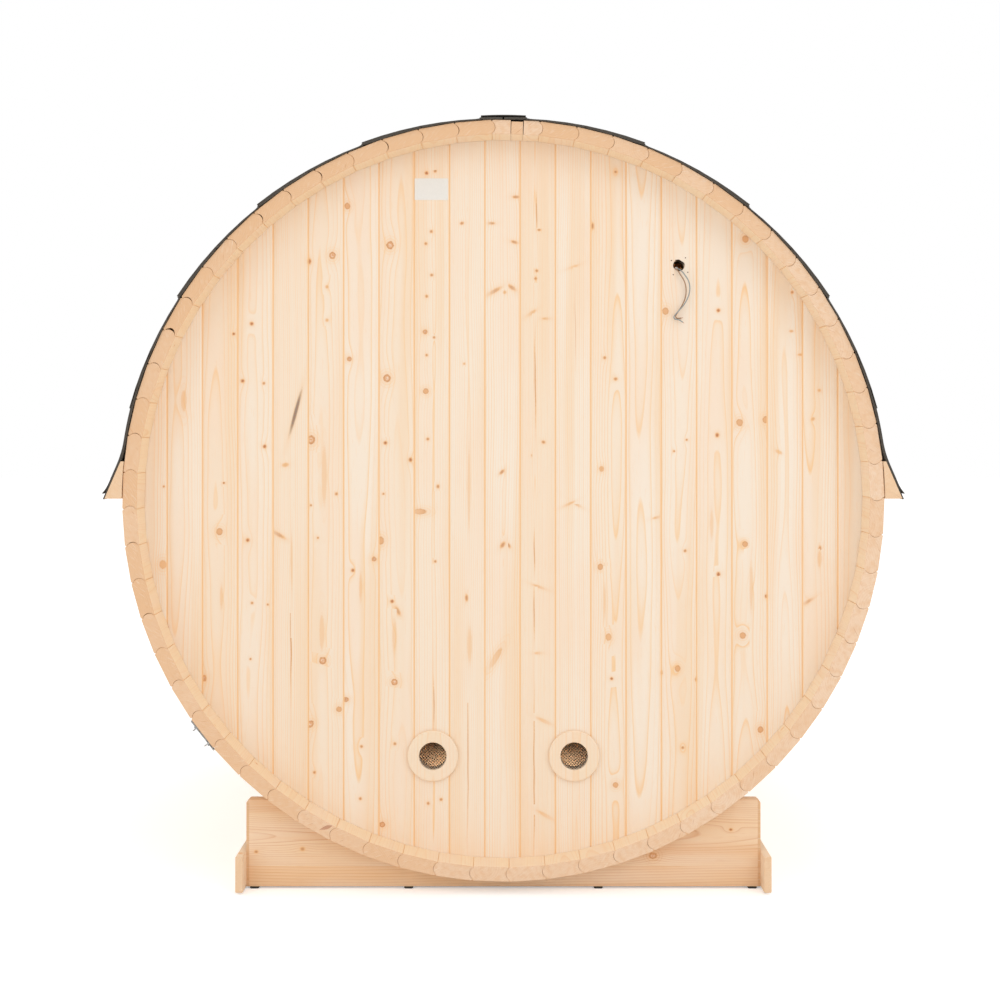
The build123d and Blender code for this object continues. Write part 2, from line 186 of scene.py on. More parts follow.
def closeFinish(wire, colour, roughness, height=None, relief=0.0004, strength=0.4, **constants):
    # a Principled surface: constants go on its own sockets, height becomes bump
    sockets = {"Base Color": colour, "Roughness": roughness}
    if height is not None:
        bump = {"Height": height, "Strength": strength, "Distance": relief}
        sockets["Normal"] = wire.node("Bump", None, bump)
    sockets.update(constants)
    shader = wire.node("BsdfPrincipled", None, sockets)
    wire.node("OutputMaterial", None, {"Surface": shader})


def newObject(name, data):
    made = bpy.data.objects.new(name, data)
    bpy.context.scene.collection.objects.link(made)
    return made


def addCamera():
    lens = bpy.data.cameras.new("photoLens")
    lens.sensor_width = view["sensor"]
    lens.lens = view["lens"]
    lens.shift_x, lens.shift_y = view["shift"]
    camera = newObject("photoCamera", lens)
    camera.location = view["eye"]
    camera.rotation_euler = (pi / 2, 0, 0)
    bpy.context.scene.camera = camera
    bpy.context.scene.view_settings.view_transform = "Standard"


def seenDirectly(wire):
    # 1 for rays that show the background: from the eye, in a reflection or through glass
    path = wire.node("LightPath", None, None, out="Is Camera Ray")
    direct = path.maths("MAXIMUM", path, path.of("Is Glossy Ray"))
    return direct.maths("MAXIMUM", direct, path.of("Is Transmission Ray"))


def addWorld():
    world = bpy.data.worlds.new("studio")
    world.use_nodes = True
    world.node_tree.nodes.clear()
    wire = Wire(world.node_tree)
    level = seenDirectly(wire) * (1 - view["worldLevel"]) + view["worldLevel"]
    sky = wire.node("Background", None, {"Color": (1, 1, 1, 1), "Strength": level})
    wire.node("OutputWorld", None, {"Surface": sky})
    bpy.context.scene.world = world


def addFloor():
    half = view["floorSize"] / 2
    corners = [(-half, -half, 0), (half, -half, 0), (half, half, 0), (-half, half, 0)]
    mesh = bpy.data.meshes.new("studioFloor")
    mesh.from_pydata(corners, [], [(0, 1, 2, 3)])
    finish, wire = newFinish("floorPaper")
    paper = wire.node("BsdfDiffuse", None, {"Color": view["floorColour"]})
    camera = wire.node("LightPath", None, None, out="Is Camera Ray")
    lift = wire.node("Emission", None, {"Color": (1, 1, 1, 1), "Strength": camera * view["floorLift"]})
    both = wire.node("AddShader", None, {0: paper, 1: lift})
    wire.node("OutputMaterial", None, {"Surface": both})
    mesh.materials.append(finish)
    floor = newObject("studioFloor", mesh)


def addLamps():
    for name, lamp in lamps.items():
        light = bpy.data.lights.new(name, "AREA")
        light.shape = "DISK"
        light.size = lamp["size"]
        light.energy = lamp["watts"]
        light.spread = lamp.get("spread", pi)
        light.color = lamp.get("colour", (1, 1, 1))
        holder = newObject(name, light)
        holder.location = lamp["place"]
        aim = np.subtract(lamp["aim"], lamp["place"])
        flat = hypot(aim[0], aim[1])
        # a lamp shines along its own -Z
        holder.rotation_euler = (np.arctan2(flat, -aim[2]), 0, np.arctan2(-aim[0], aim[1]))


addCamera()
addWorld()
addFloor()
addLamps()
print("stage set")


# Pieces from arrays
def makePiece(name, shape, finish, replaced=(), sharp=35):
    # a shape is points, faces and what its points and faces carry
    mesh = bpy.data.meshes.new(name)
    mesh.from_pydata(shape["points"].tolist(), [], shape["faces"])
    shell = bmesh.new()
    shell.from_mesh(mesh)
    bmesh.ops.recalc_face_normals(shell, faces=shell.faces)
    shell.to_mesh(mesh)
    shell.free()
    for domain in ("POINT", "FACE"):
        for key, values in shape.get(domain, {}).items():
            kind, field = ("FLOAT_VECTOR", "vector") if values.ndim == 2 else ("FLOAT", "value")
            layer = mesh.attributes.new(key, kind, domain)
            layer.data.foreach_set(field, values.astype(np.float32).ravel())
    mesh.shade_smooth()
    mesh.set_sharp_from_angle(angle=radians(sharp))
    mesh.materials.append(finish)
    piece = newObject(name, mesh)
    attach(piece, "root")
    if replaced:
        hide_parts(*replaced)
    return piece


def nodePiece(node, shape, finish, sharp=35):
    # a piece that takes one node's place, under the node's name
    first, *rest = node.split("_")
    name = first + "".join(word.capitalize() for word in rest)
    return makePiece(name, shape, finish, [node], sharp)


def dress(node, finish):
    # a node of the part that keeps its own shape
    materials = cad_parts[node].data.materials
    materials.clear()
    materials.append(finish)


def joined(shapes):
    # several shapes as one: points stacked, face numbers moved on
    starts = np.cumsum([0] + [len(shape["points"]) for shape in shapes])
    whole = {"points": np.concatenate([shape["points"] for shape in shapes]), "faces": []}
    for start, shape in zip(starts, shapes):
        whole["faces"] += [[start + corner for corner in face] for face in shape["faces"]]
    for domain in ("POINT", "FACE"):
        keys = shapes[0].get(domain, {})
        whole[domain] = {key: np.concatenate([shape[domain][key] for shape in shapes]) for key in keys}
    return whole


def stacked(*parts):
    # coordinates side by side on a last axis, each stretched to the shape they share
    return np.stack(np.broadcast_arrays(*parts), axis=-1)


def ringQuads(rows, count, closed=True):
    # quads between neighbouring rows of a grid whose rows are closed loops, or open lines
    number = np.arange(rows * count).reshape(rows, count)
    last = count if closed else count - 1
    here, there = number[:, :last], np.roll(number, -1, axis=1)[:, :last]
    return stacked(here[:-1], there[:-1], there[1:], here[1:]).reshape(-1, 4)


def endFaces(rows, count):
    # the first and the last loop of a grid, as faces
    return [list(range(count)), list(range((rows - 1) * count, rows * count))]


def rimOf(grid):
    # once round the outside of a grid of point numbers
    return np.concatenate([grid[0, :-1], grid[:-1, -1], grid[-1, :0:-1], grid[:0:-1, 0]])


def bridge(first, second):
    # quads between two closed rings of point numbers
    return stacked(first, np.roll(first, -1), np.roll(second, -1), second)


def loft(loops):
    # loops carried along a path, rows x points x 3, with a face over both ends
    rows, count = loops.shape[:2]
    faces = ringQuads(rows, count).tolist() + endFaces(rows, count)
    return {"points": loops.reshape(-1, 3), "faces": faces}


def slab(top, under):
    # two grids, rows x columns x 3, closed round their rim
    rows, columns = top.shape[:2]
    size = rows * columns
    upper = ringQuads(rows, columns, closed=False)
    rim = rimOf(np.arange(size).reshape(rows, columns))
    quads = np.concatenate([upper, upper[:, ::-1] + size, bridge(rim, rim + size)])
    points = np.concatenate([top.reshape(-1, 3), under.reshape(-1, 3)])
    return {"points": points, "faces": quads.tolist()}


def inset(loop, depth):
    # a closed outline moved inwards along its normals
    along = np.roll(loop, -1, axis=0) - np.roll(loop, 1, axis=0)
    normal = stacked(along[:, 1], -along[:, 0])
    normal /= np.linalg.norm(normal, axis=1, keepdims=True) + 1e-12
    turn = np.sign(np.sum(loop[:, 0] * np.roll(loop[:, 1], -1) - loop[:, 1] * np.roll(loop[:, 0], -1)))
    return loop - depth * turn * normal


def softRectangle(left, right, low, high, ease, steps=3):
    # an anticlockwise rectangle whose corners are quarter rounds
    turn = np.linspace(0, pi / 2, steps)
    corners = []
    for x, y, start in ((right, low, -pi / 2), (right, high, 0), (left, high, pi / 2), (left, low, pi)):
        cx = x - ease if x == right else x + ease
        cy = y + ease if y == low else y - ease
        corners.append(stacked(cx + ease * np.cos(start + turn), cy + ease * np.sin(start + turn)))
    return np.concatenate(corners)


def sheetOf(outline, layers):
    # an outline stacked into a plate, each layer an inset and a height
    return loft(np.array([stacked(*inset(outline, depth).T, height) for depth, height in layers]))


def turned(profile, sides):
    # a profile of (radius, height) points turned about the height axis, closed at both ends
    angle = np.arange(sides) * tau / sides
    radius, height = np.array(profile).T[:, :, None]
    return loft(stacked(radius * np.cos(angle), radius * np.sin(angle), height))


def ringTurned(profile, sides):
    # a closed profile of (radius, height) points turned into a ring
    angle = np.arange(sides)[:, None] * tau / sides
    radius, height = np.array(profile).T
    loops = stacked(radius * np.cos(angle), radius * np.sin(angle), height)
    number = np.arange(sides * len(profile)).reshape(sides, -1)
    quads = np.concatenate([ringQuads(sides, len(profile)), bridge(number[-1], number[0])])
    return {"points": loops.reshape(-1, 3), "faces": quads.tolist()}


def moved(shape, place):
    # a shape with its points put through place, which takes and gives x, y, z
    return {**shape, "points": stacked(*place(*shape["points"].T))}


def onBarrel(angle, radius, offset=0.0):
    # across and up from the axis for a clockwise angle, moved clockwise by offset
    across = radius * np.sin(angle) + offset * np.cos(angle)
    up = radius * np.cos(angle) - offset * np.sin(angle)
    return across, barrel["axis"] + up


# Leads: the routes run right, inwards and up from the mouth of the cable hole, in mm
leads = {
    "mouth": (0.44731, -0.910, 1.57906),
    "diameter": 0.003,
    "cores": {
        "grey": {
            "length": 0.189,
            "colour": (0.36, 0.39, 0.38, 1),
            "route": [
                (-3.8, 8.0, -8.4), (-3.8, -2.0, -8.4), (4.0, -11.0, -13.0), (14.0, -16.0, -26.0),
                (24.0, -17.0, -42.0), (27.0, -16.0, -62.0), (22.0, -15.0, -84.0), (10.0, -14.0, -104.0),
                (-3.0, -13.0, -118.0), (-10.5, -12.5, -126.5), (-14.8, -12.0, -133.0), (-11.5, -11.3, -138.5),
                (-4.5, -10.5, -138.5), (2.5, -9.8, -141.0), (8.6, -9.0, -145.5),
            ],
        },
        "brown": {
            "length": 0.164,
            "colour": (0.47, 0.27, 0.15, 1),
            "route": [
                (-7.9, 8.0, -8.4), (-7.9, -1.0, -8.4), (-3.0, -8.5, -15.0), (4.0, -11.0, -27.0),
                (13.0, -11.5, -41.0), (17.5, -11.0, -60.0), (16.5, -10.0, -81.0), (9.0, -9.0, -100.0),
                (-1.0, -8.0, -116.0), (-7.0, -7.6, -125.0), (-9.8, -7.2, -131.0), (-6.5, -6.6, -135.5),
                (-0.5, -5.6, -136.0), (5.5, -4.6, -134.5),
            ],
        },
    },
    "sheathColour": (0.78, 0.77, 0.73, 1),
    "copperColour": (0.74, 0.40, 0.24, 1),
    "copperDull": (0.5, 0.24, 0.14, 1),
    "strands": 5,
    "strandLong": 0.0045,
    "strandSunk": 0.0006,  # inside the insulation
    "strandTurns": 0.6,
    "strandSpread": 0.00065 * 0.62,
    "strandRadius": 0.00065 * 0.5,
    "strandRows": 7,
    "strandSides": 6,
}


def plasticFinish(name, colour, roughness, fade=0.72):
    # moulded plastic: a faint mottle and fine extrusion lines
    finish, wire = newFinish(name)
    place = wire.node("TexCoord", None, None, out="Object")
    mottle = wire.noise(place, 900.0, 3.0)
    dark = tuple(level * fade for level in colour[:3]) + (1,)
    shade = wire.mix(mottle.fade(0.35, 0.7), dark, colour)
    closeFinish(wire, shade, mottle * 0.2 + roughness, mottle, relief=0.0001)
    return finish


def metalFinish(name, colour, dull, roughness, grain):
    # bright metal with cloudy dulling, and small scratches in the bump
    finish, wire = newFinish(name)
    place = wire.node("TexCoord", None, None, out="Object")
    cloud = wire.noise(place, grain, 4.0)
    speck = wire.noise(place, grain * 14, 2.0)
    shade = wire.mix(cloud.fade(0.3, 0.72), colour, dull)
    closeFinish(wire, shade, cloud * 0.25 + speck * 0.12 + roughness, speck, relief=0.00012, Metallic=1.0)
    return finish


def addLeads():
    mouth = np.array(leads["mouth"])
    copper = metalFinish("copperStrand", leads["copperColour"], leads["copperDull"], 0.22, 600.0)
    for shade, core in leads["cores"].items():
        route = mouth + np.array(core["route"]) / 1000
        curve = bpy.data.curves.new(f"{shade}Core", "CURVE")
        curve.dimensions = "3D"
        spline = curve.splines.new("NURBS")
        spline.points.add(len(route) - 1)
        spline.points.foreach_set("co", np.column_stack([route, np.ones(len(route))]).ravel())
        spline.order_u = 3
        spline.use_endpoint_u = True
        spline.resolution_u = 8
        curve.bevel_depth = leads["diameter"] / 2
        curve.bevel_resolution = 3
        curve.use_fill_caps = True
        curve.materials.append(plasticFinish(f"{shade}Insulation", core["colour"], 0.42))
        lead = newObject(f"{shade}Core", curve)
        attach(lead, "root")
        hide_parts(f"lead_{shade}")
        tip = strandTip(f"{shade}CoreTip", route, copper)
    dress("lead_sheath", plasticFinish("sheathPvc", leads["sheathColour"], 0.38))


def strandTip(name, route, finish):
    # a few copper wires twisted together past the cut insulation: helices round the end's line
    ahead = route[-1] - route[-2]
    ahead /= np.linalg.norm(ahead)
    side = np.cross(ahead, (0, 0, 1))
    side /= np.linalg.norm(side)
    up = np.cross(side, ahead)
    wires, reach, sides = leads["strands"], leads["strandLong"], leads["strandSides"]
    along = np.linspace(-leads["strandSunk"], reach, leads["strandRows"])[:, None]
    around = np.arange(sides)[:, None] * tau / sides
    ring = leads["strandRadius"] * (np.cos(around) * side + np.sin(around) * up)
    strands = []
    for wire in range(wires):
        turn = wire * tau / wires + along / reach * leads["strandTurns"] * tau
        path = route[-1] + along * ahead + leads["strandSpread"] * (np.cos(turn) * side + np.sin(turn) * up)
        strands.append(loft(path[:, None] + ring))
    return makePiece(name, joined(strands), finish)


addLeads()
print("leads laid")


# Wood: every board carries its own grain coordinates, its log's pith and, on each face, its nearest knot
woodLooks = {
    "wall": {
        "pale": (0.915, 0.800, 0.670, 1), "warm": (0.905, 0.740, 0.570, 1), "late": (0.915, 0.570, 0.270, 1),
        "streak": (0.900, 0.680, 0.470, 1), "ring": 0.0052, "contrast": 0.95, "wander": 0.030, "even": 0.25,
        "end": (0.810, 0.500, 0.255, 1), "endWarm": (0.760, 0.440, 0.205, 1),
        "endLate": (0.700, 0.400, 0.190, 1), "rough": 0.58,
    },
    "stave": {
        "pale": (0.945, 0.765, 0.550, 1), "warm": (0.930, 0.715, 0.475, 1), "late": (0.870, 0.540, 0.275, 1),
        "streak": (0.900, 0.650, 0.420, 1), "ring": 0.0046, "contrast": 0.66, "wander": 0.030, "even": 0.25,
        "end": (0.880, 0.640, 0.450, 1), "endWarm": (0.805, 0.500, 0.280, 1),
        "endLate": (0.660, 0.370, 0.190, 1), "rough": 0.60,
    },
    "base": {
        "pale": (0.900, 0.640, 0.410, 1), "warm": (0.870, 0.550, 0.300, 1), "late": (0.700, 0.345, 0.155, 1),
        "streak": (0.830, 0.500, 0.270, 1), "ring": 0.0050, "contrast": 0.95, "wander": 0.040, "even": 0.5,
        "end": (0.780, 0.490, 0.275, 1), "endWarm": (0.760, 0.450, 0.235, 1),
        "endLate": (0.620, 0.330, 0.160, 1), "rough": 0.62,
    },
    "rail": {
        "pale": (0.930, 0.750, 0.550, 1), "warm": (0.915, 0.690, 0.460, 1), "late": (0.780, 0.450, 0.220, 1),
        "streak": (0.880, 0.620, 0.390, 1), "ring": 0.0050, "contrast": 0.75, "wander": 0.040, "even": 0.5,
        "end": (0.875, 0.620, 0.400, 1), "endWarm": (0.835, 0.550, 0.325, 1),
        "endLate": (0.670, 0.380, 0.195, 1), "rough": 0.62,
    },
    "joinery": {
        "pale": (0.880, 0.700, 0.510, 1), "warm": (0.865, 0.640, 0.430, 1), "late": (0.790, 0.490, 0.270, 1),
        "streak": (0.845, 0.590, 0.370, 1), "ring": 0.0036, "contrast": 0.55, "wander": 0.020, "even": 0.25,
        "end": (0.810, 0.580, 0.380, 1), "endWarm": (0.790, 0.530, 0.330, 1),
        "endLate": (0.680, 0.410, 0.220, 1), "rough": 0.52,
    },
}
woodFigure = {  # noise across and along the grain, its step from board to board, its detail
    "drift": (5, 1.15, 7.3, 2.0),
    "fibre": (650, 9, 11, 2.0),
    "broad": (24, 0.9, 5, 1.0),
    "fleck": (330, 26, 3, 1.0),
    "cloud": (11, 2.0, 17, 2.0),
}
knotColours = {
    "halo": (0.860, 0.490, 0.210, 1),
    "core": (0.490, 0.170, 0.065, 1),
    "disc": (0.780, 0.400, 0.180, 1),  # a big knot's body
    "rim": (0.560, 0.235, 0.090, 1),
    "heart": (0.880, 0.720, 0.570, 1),
    "bark": (0.300, 0.235, 0.180, 1),  # in a pocket of bark
    "scuff": (0.940, 0.800, 0.660, 1),  # on sawn ends
    "blush": (0.920, 0.715, 0.545, 1),  # peach clouds in the pale wood
    "pale": (0.930, 0.800, 0.640, 1),  # between the fibres
    "seam": (0.970, 0.590, 0.280, 1),  # arrises along a joint
}


def woodFinish(name, look):
    # rings are distances from the board's pith, wandering a little and bent round each knot
    finish, wire = newFinish(name)

    def figure(key, out="Fac"):
        fine, long, step, detail = woodFigure[key]
        place = wire.join(across * fine + seed * step, depth * fine, along * long)
        return wire.noise(place, 1.0, detail, out=out)

    across, depth, along = wire.carried("grain", "Vector").parts()
    pithAcross, pithDepth, seed = wire.carried("log", "Vector").parts()
    knotAcross, knotAlong, knotForce = wire.carried("knotAt", "Vector").parts()
    knotWide, knotTall, knotTurn = wire.carried("knotSpan", "Vector").parts()
    tone, endFace, seam = wire.carried("tone"), wire.carried("endGrain"), wire.carried("seam")

    # the knot's own coordinates: 1 at its rim; the narrowest are drying checks, which wander
    check = knotWide.fade(0.0022, 0.0017)
    wave = wire.noise(wire.join(seed * 23, 0.0, along * 7), 1.0, 1.0) - 0.5
    right, up = across - knotAcross + wave * check * 0.008, along - knotAlong
    turnCos, turnSin = wire.maths("COSINE", knotTurn), wire.maths("SINE", knotTurn)
    wide = (right * turnCos + up * turnSin) / knotWide
    tall = (up * turnCos - right * turnSin) / knotTall
    ragged = wire.noise(wire.join(across * 260, depth * 260, along * 260), 1.0, 2.0) - 0.5
    reach = wire.maths("SQRT", wide * wide + tall * tall) + ragged * 0.5
    knotSize = wire.maths("MINIMUM", knotWide, knotTall)
    aside, ahead = right / (knotSize * 2.3), up / (knotSize * 5.0)
    bend = wire.maths("EXPONENT", (aside * aside + ahead * ahead) * -1) * knotSize * knotForce * 0.85

    driftX, driftY, driftZ = figure("drift", "Color").parts()
    fromPith = across - pithAcross + (driftX - 0.5) * look["wander"]
    belowPith = depth - pithDepth + (driftY - 0.5) * look["wander"]
    radius = wire.maths("SQRT", fromPith * fromPith + belowPith * belowPith) + bend
    spacing = wire.maths("FRACT", seed * 7.13) * (look["ring"] * 0.7) + look["ring"] * 0.65
    phase = radius / spacing + (driftZ - 0.5) * 1.4
    ringTone = wire.node("TexWhiteNoise", {"noise_dimensions": "1D"},
                         {"W": wire.maths("FLOOR", phase) + seed * 31})
    ringStops = [(0.0, 0.05), (0.52, 0.05), (0.80, 0.32), (0.93, 1.0), (1.0, 0.05)]
    late = wire.node("ValToRGB", {"stops": ringStops}, {0: wire.maths("FRACT", phase)})
    latewood = late * (ringTone * (1 - look["even"]) + look["even"])

    fibre = figure("fibre")
    face = wire.mix(tone, look["pale"], look["warm"])
    face = wire.mix(figure("cloud").fade(0.42, 0.68) * 0.55, face, knotColours["blush"])
    face = wire.mix(figure("broad").fade(0.48, 0.75) * 0.7, face, look["streak"])
    face = wire.mix(latewood * look["contrast"], face, look["late"])
    face = wire.mix(figure("fleck").fade(0.62, 0.74) * 0.16, face, look["late"])
    face = wire.mix((fibre - 0.5).fade(-0.25, 0.25) * 0.14, face, knotColours["pale"])

    # a soft orange patch round a brown disc; the biggest are eyes, speckled with pale wood, looped round
    big = knotSize.fade(0.0050, 0.0068)
    eye = big * knotForce.fade(0.93, 0.99)
    speckle = ragged.fade(-0.12, 0.16)
    halo = wire.maths("EXPONENT", wire.maths("MAXIMUM", reach - 0.8, 0.0) * -1.2) * knotForce
    # a knot cut along its length fades away from the pith
    long = (knotWide / knotTall).fade(1.8, 3.0)
    fromHeart = wire.maths("ABSOLUTE", across - pithAcross) - wire.maths("ABSOLUTE", knotAcross - pithAcross)
    spike = long * (fromHeart / knotWide).fade(-0.9, 1.1)
    body = reach.fade(1.5 - big * 0.3, big * 0.25 + 0.6) * knotForce * (1 - spike)
    loops = wire.maths("SINE", reach * 8.5).fade(0.3, 1.0) * reach.bell(1.9, 0.75) * big * knotForce
    knot = wire.mix(reach.fade(1.05, 0.3), knotColours["halo"], knotColours["core"])
    disc = wire.mix(reach.fade(1.25, 0.55), knotColours["halo"], knotColours["disc"])
    knot = wire.mix(big * 0.85, knot, disc)
    knot = wire.mix(reach.bell(0.85, 0.22) * big * (1 - speckle * 0.4) * 0.9, knot, knotColours["rim"])
    knot = wire.mix(reach.fade(0.75, 0.3) * eye * speckle * 0.9, knot, knotColours["heart"])
    knot = wire.mix(knotForce.fade(1.02, 1.1) * (speckle * 0.4 + 0.6), knot, knotColours["bark"])
    weak = knotForce.fade(1.0, 0.7) * (1 - check)
    knot = wire.mix(check.maths("MAXIMUM", check * 0.3, weak), knot, knotColours["halo"])
    face = wire.mix(halo * 0.45, face, knotColours["halo"])
    face = wire.mix(loops * 0.4, face, look["late"])
    face = wire.mix(body * 0.92, face, knot)

    # end grain: the same rings seen square on, pores, blotches, pale saw scratches and short cracks
    pores = wire.noise(wire.join(across * 900, depth * 900, seed), 1.0, 2.0)
    lean = wire.join((across * 0.8 + depth * 0.6) * 45, (depth * 0.8 - across * 0.6) * 900, seed * 9)
    scratch = wire.noise(lean, 1.0, 1.0).fade(0.6, 0.76)
    blotch = wire.noise(wire.join(across * 75 + seed * 29, depth * 75, seed * 13), 1.0, 3.0)
    slant = wire.join((across * 0.7 + depth * 0.7) * 34, (depth * 0.7 - across * 0.7) * 420, seed * 21)
    crack = wire.noise(slant, 1.0, 1.0).fade(0.74, 0.80)
    cut = wire.mix(tone, look["end"], look["endWarm"])
    cut = wire.mix(blotch.fade(0.40, 0.68) * 0.55, cut, look["endWarm"])
    cut = wire.mix(latewood * 0.45, cut, look["endLate"])
    cut = wire.mix(pores.fade(0.5, 0.8) * 0.3, cut, look["endLate"])
    cut = wire.mix(scratch * 0.5, cut, knotColours["scuff"])
    cut = wire.mix(crack * 0.7, cut, knotColours["rim"])
    colour = wire.mix(seam, wire.mix(endFace, face, cut), knotColours["seam"])

    height = fibre * 0.5 + latewood * 0.5 + pores * endFace * 0.6
    rough = fibre * 0.16 - latewood * 0.08 + look["rough"]
    closeFinish(wire, colour, rough, height, relief=0.0003, strength=0.35)
    return finish


wallSpruce = woodFinish("wallSpruce", woodLooks["wall"])
staveSpruce = woodFinish("staveSpruce", woodLooks["stave"])
basePine = woodFinish("basePine", woodLooks["base"])
railPine = woodFinish("railPine", woodLooks["rail"])
joineryPine = woodFinish("joineryPine", woodLooks["joinery"])
print("wood finishes made")


# a knot is across, along, half width, half height, turn and force; the far one is out of sight
farKnot = (9.0, 9.0, 1.0, 1.0, 0.0, 0.0)
knotSizes = {0.003: 0.35, 0.004: 0.3, 0.006: 0.22, 0.009: 0.13}  # half widths, and the share of each
beamLook = {"slope": 0.01, "pithSpread": 0.025, "pithDepths": (0.035, 0.085)}


def timber(points, grain, quads, caps, marks, log, tone, endQuads=0, seams=None):
    # a board's shape with what its wood needs; each face takes the knot nearest in that knot's own size
    middle = grain[quads].mean(axis=1)
    knots = np.array(marks if len(marks) else [farKnot])
    turnCos, turnSin = np.cos(knots[:, 4]), np.sin(knots[:, 4])
    right, up = middle[:, :1] - knots[:, 0], middle[:, 2:] - knots[:, 1]
    wide = (right * turnCos + up * turnSin) / knots[:, 2]
    tall = (up * turnCos - right * turnSin) / knots[:, 3]
    nearest = np.argmin(np.hypot(wide, tall), axis=1)
    nearest = np.concatenate([knots[nearest], np.tile(knots[:1], (len(caps), 1))])
    count = len(quads) + len(caps)
    endGrain = np.zeros(count)
    endGrain[len(quads):] = 1
    seam = np.zeros(count)
    if seams is not None:
        seam[:len(quads)] = seams
    if endQuads:
        endGrain[:endQuads] = 1
        endGrain[len(quads) - endQuads:len(quads)] = 1
    carried = {
        "log": np.tile(log, (count, 1)),
        "tone": np.full(count, tone),
        "knotAt": nearest[:, [0, 1, 5]],
        "knotSpan": nearest[:, [2, 3, 4]],
        "endGrain": endGrain,
        "seam": seam,
    }
    return {"points": points, "faces": quads.tolist() + caps, "POINT": {"grain": grain}, "FACE": carried}


def scatterKnots(rng, wide, low, high, many):
    # a few knots at random on a board: mostly small, now and then a big one
    count = rng.poisson(many)
    size = rng.choice(list(knotSizes), count, p=list(knotSizes.values()))
    return stacked(
        rng.uniform(-wide, wide, count),
        rng.uniform(low, high, count),
        size,
        size * rng.uniform(0.8, 1.3, count),
        rng.uniform(-0.5, 0.5, count),
        rng.uniform(0.6, 1.0, count),
    )


def beam(outline, low, high, place, number, look):
    # an outline (across, depth) carried along a board; place turns across, depth, along into x, y, z
    seed, ease = look["seed"] + number, look["ease"]
    knots = scatterKnots(np.random.default_rng(seed), look["knotReach"], low, high, look["knots"])
    rng = np.random.default_rng(seed)
    rows = np.linspace(low, high, look["rows"])
    eased = inset(outline, ease)[None]
    layers = np.concatenate([eased, np.repeat(outline[None], len(rows), axis=0), eased])
    along = np.concatenate([rows[:1], rows, rows[-1:]])[:, None]
    along[1] += ease
    along[-2] -= ease
    across, depth = layers[..., 0], layers[..., 1]
    return placedBeam(across, depth, along, place, rng, knots, look["tone"], beamLook["slope"])


def logAndTone(rng, pith, tone, middle, spread, depths):
    # the pith somewhere outside a board, and its tone, at random unless they are given
    if pith is None:
        pith = (rng.normal(0, spread), middle + rng.choice([-1, 1]) * rng.uniform(*depths))
    log = (*pith, rng.uniform(0, 1))
    return log, rng.uniform(0, 1) if tone is None else tone


def placedBeam(across, depth, along, place, rng, knots, tone, slope, pith=None, seam=None):
    # a grid of across, depth, along as a board, its grain sloping a little one way or the other
    rows, count = across.shape
    points = stacked(*place(across, depth, along)).reshape(-1, 3)
    middle = (across.max() + across.min()) / 2
    grain = stacked(across - middle, depth + slope * along * rng.uniform(-1, 1), along).reshape(-1, 3)
    spread, depths = beamLook["pithSpread"], beamLook["pithDepths"]
    log, tone = logAndTone(rng, pith, tone, depth.mean(), spread, depths)
    seams = None if seam is None else np.tile(seam, rows - 1)
    quads, caps = ringQuads(rows, count), endFaces(rows, count)
    return timber(points, grain, quads, caps, knots, log, tone, count, seams)


# Staves
staveLook = {
    "chamfer": 0.003,
    "beadHeight": 0.008,
    "beadWide": 0.029,
    "beadMiddle": 0.018,  # below the flat outside
    "beadPoints": 9,
    "innerEase": 0.0009,
    "coveExtra": 0.0002,  # how much deeper than the bead the cove is, at least, and where the joints gape
    "coveGape": 0.0022,
    "gapeAngle": radians(305),
    "paintedLightAngle": radians(95),  # painted light: the side towards which the staves are painted paler, as if lit
    "endEase": 0.0009,
    "radialPlay": 0.0003,
    "endPlay": 0.0009,
    "seam": 0.55,
    "openJoints": {296.5: 0.0048, 302.0: 0.0016, 327.0: 0.0012},  # degrees, and how much deeper the cove is
    "knots": 4.0,
    "knotReach": 0.044,
    "grooveFloor": 0.924,
    "grooveEase": 0.0002,
    "innerRows": 17,
    "rowRoom": 0.001,
    "slope": 0.008,
    "pithSpread": 0.03,
    "pithDepth": (0.02, 0.075),
    "tones": (0.15, 0.75),
    # painted light: staves painted paler towards the lit side, and deeper round the top as painted shade
    # under the roof
    "paintedSideLight": 0.35,
    "paintedTopShade": 0.5,
    "stripEase": 0.001,
    "sharp": 28,
    "seed": 100,
    "toneSeed": 90,
    "closingSeed": 200,
}


def jointSide(angle, shift, extra):
    # down one joint: the outer arris, the bead's arc, the inner corner
    half, high = staveLook["beadWide"] / 2, staveLook["beadHeight"]
    arc = (half * half + high * high) / (2 * high)
    fall = np.linspace(half, -half, staveLook["beadPoints"])
    bulge = np.sqrt(arc * arc - fall * fall) - (arc - high)
    corner = barrel["flat"] / cos(barrel["pitch"] / 2)
    outer = corner - staveLook["chamfer"]
    innerCorner = barrel["inner"] / cos(barrel["pitch"] / 2)
    ease = staveLook["innerEase"]
    bead = barrel["flat"] - staveLook["beadMiddle"] + fall
    radius = np.concatenate([[outer], bead, [innerCorner + ease, innerCorner]])
    inwards = -np.sign(angle) * ease
    offset = shift + np.concatenate([[0], bulge * (1 + extra / high), [0, inwards]])
    return stacked(
        radius * np.sin(angle) + offset * np.cos(angle),
        radius * np.cos(angle) - offset * np.sin(angle),
    )


def staveLoop(extra):
    # one stave's section, across by radius: a wedge with a bead on its clockwise edge and a cove on the other
    half, play = barrel["pitch"] / 2, barrel["gap"] / 2
    wide = barrel["flat"] * np.tan(half) - staveLook["chamfer"]
    outside = stacked(np.linspace(-wide, wide, 5), barrel["flat"])
    clockwise = jointSide(half, -play, 0)
    other = jointSide(-half, play, extra)
    inside = np.linspace(clockwise[-1], other[-1], 5)[1:-1]
    return np.concatenate([outside, clockwise, inside, other[::-1]])


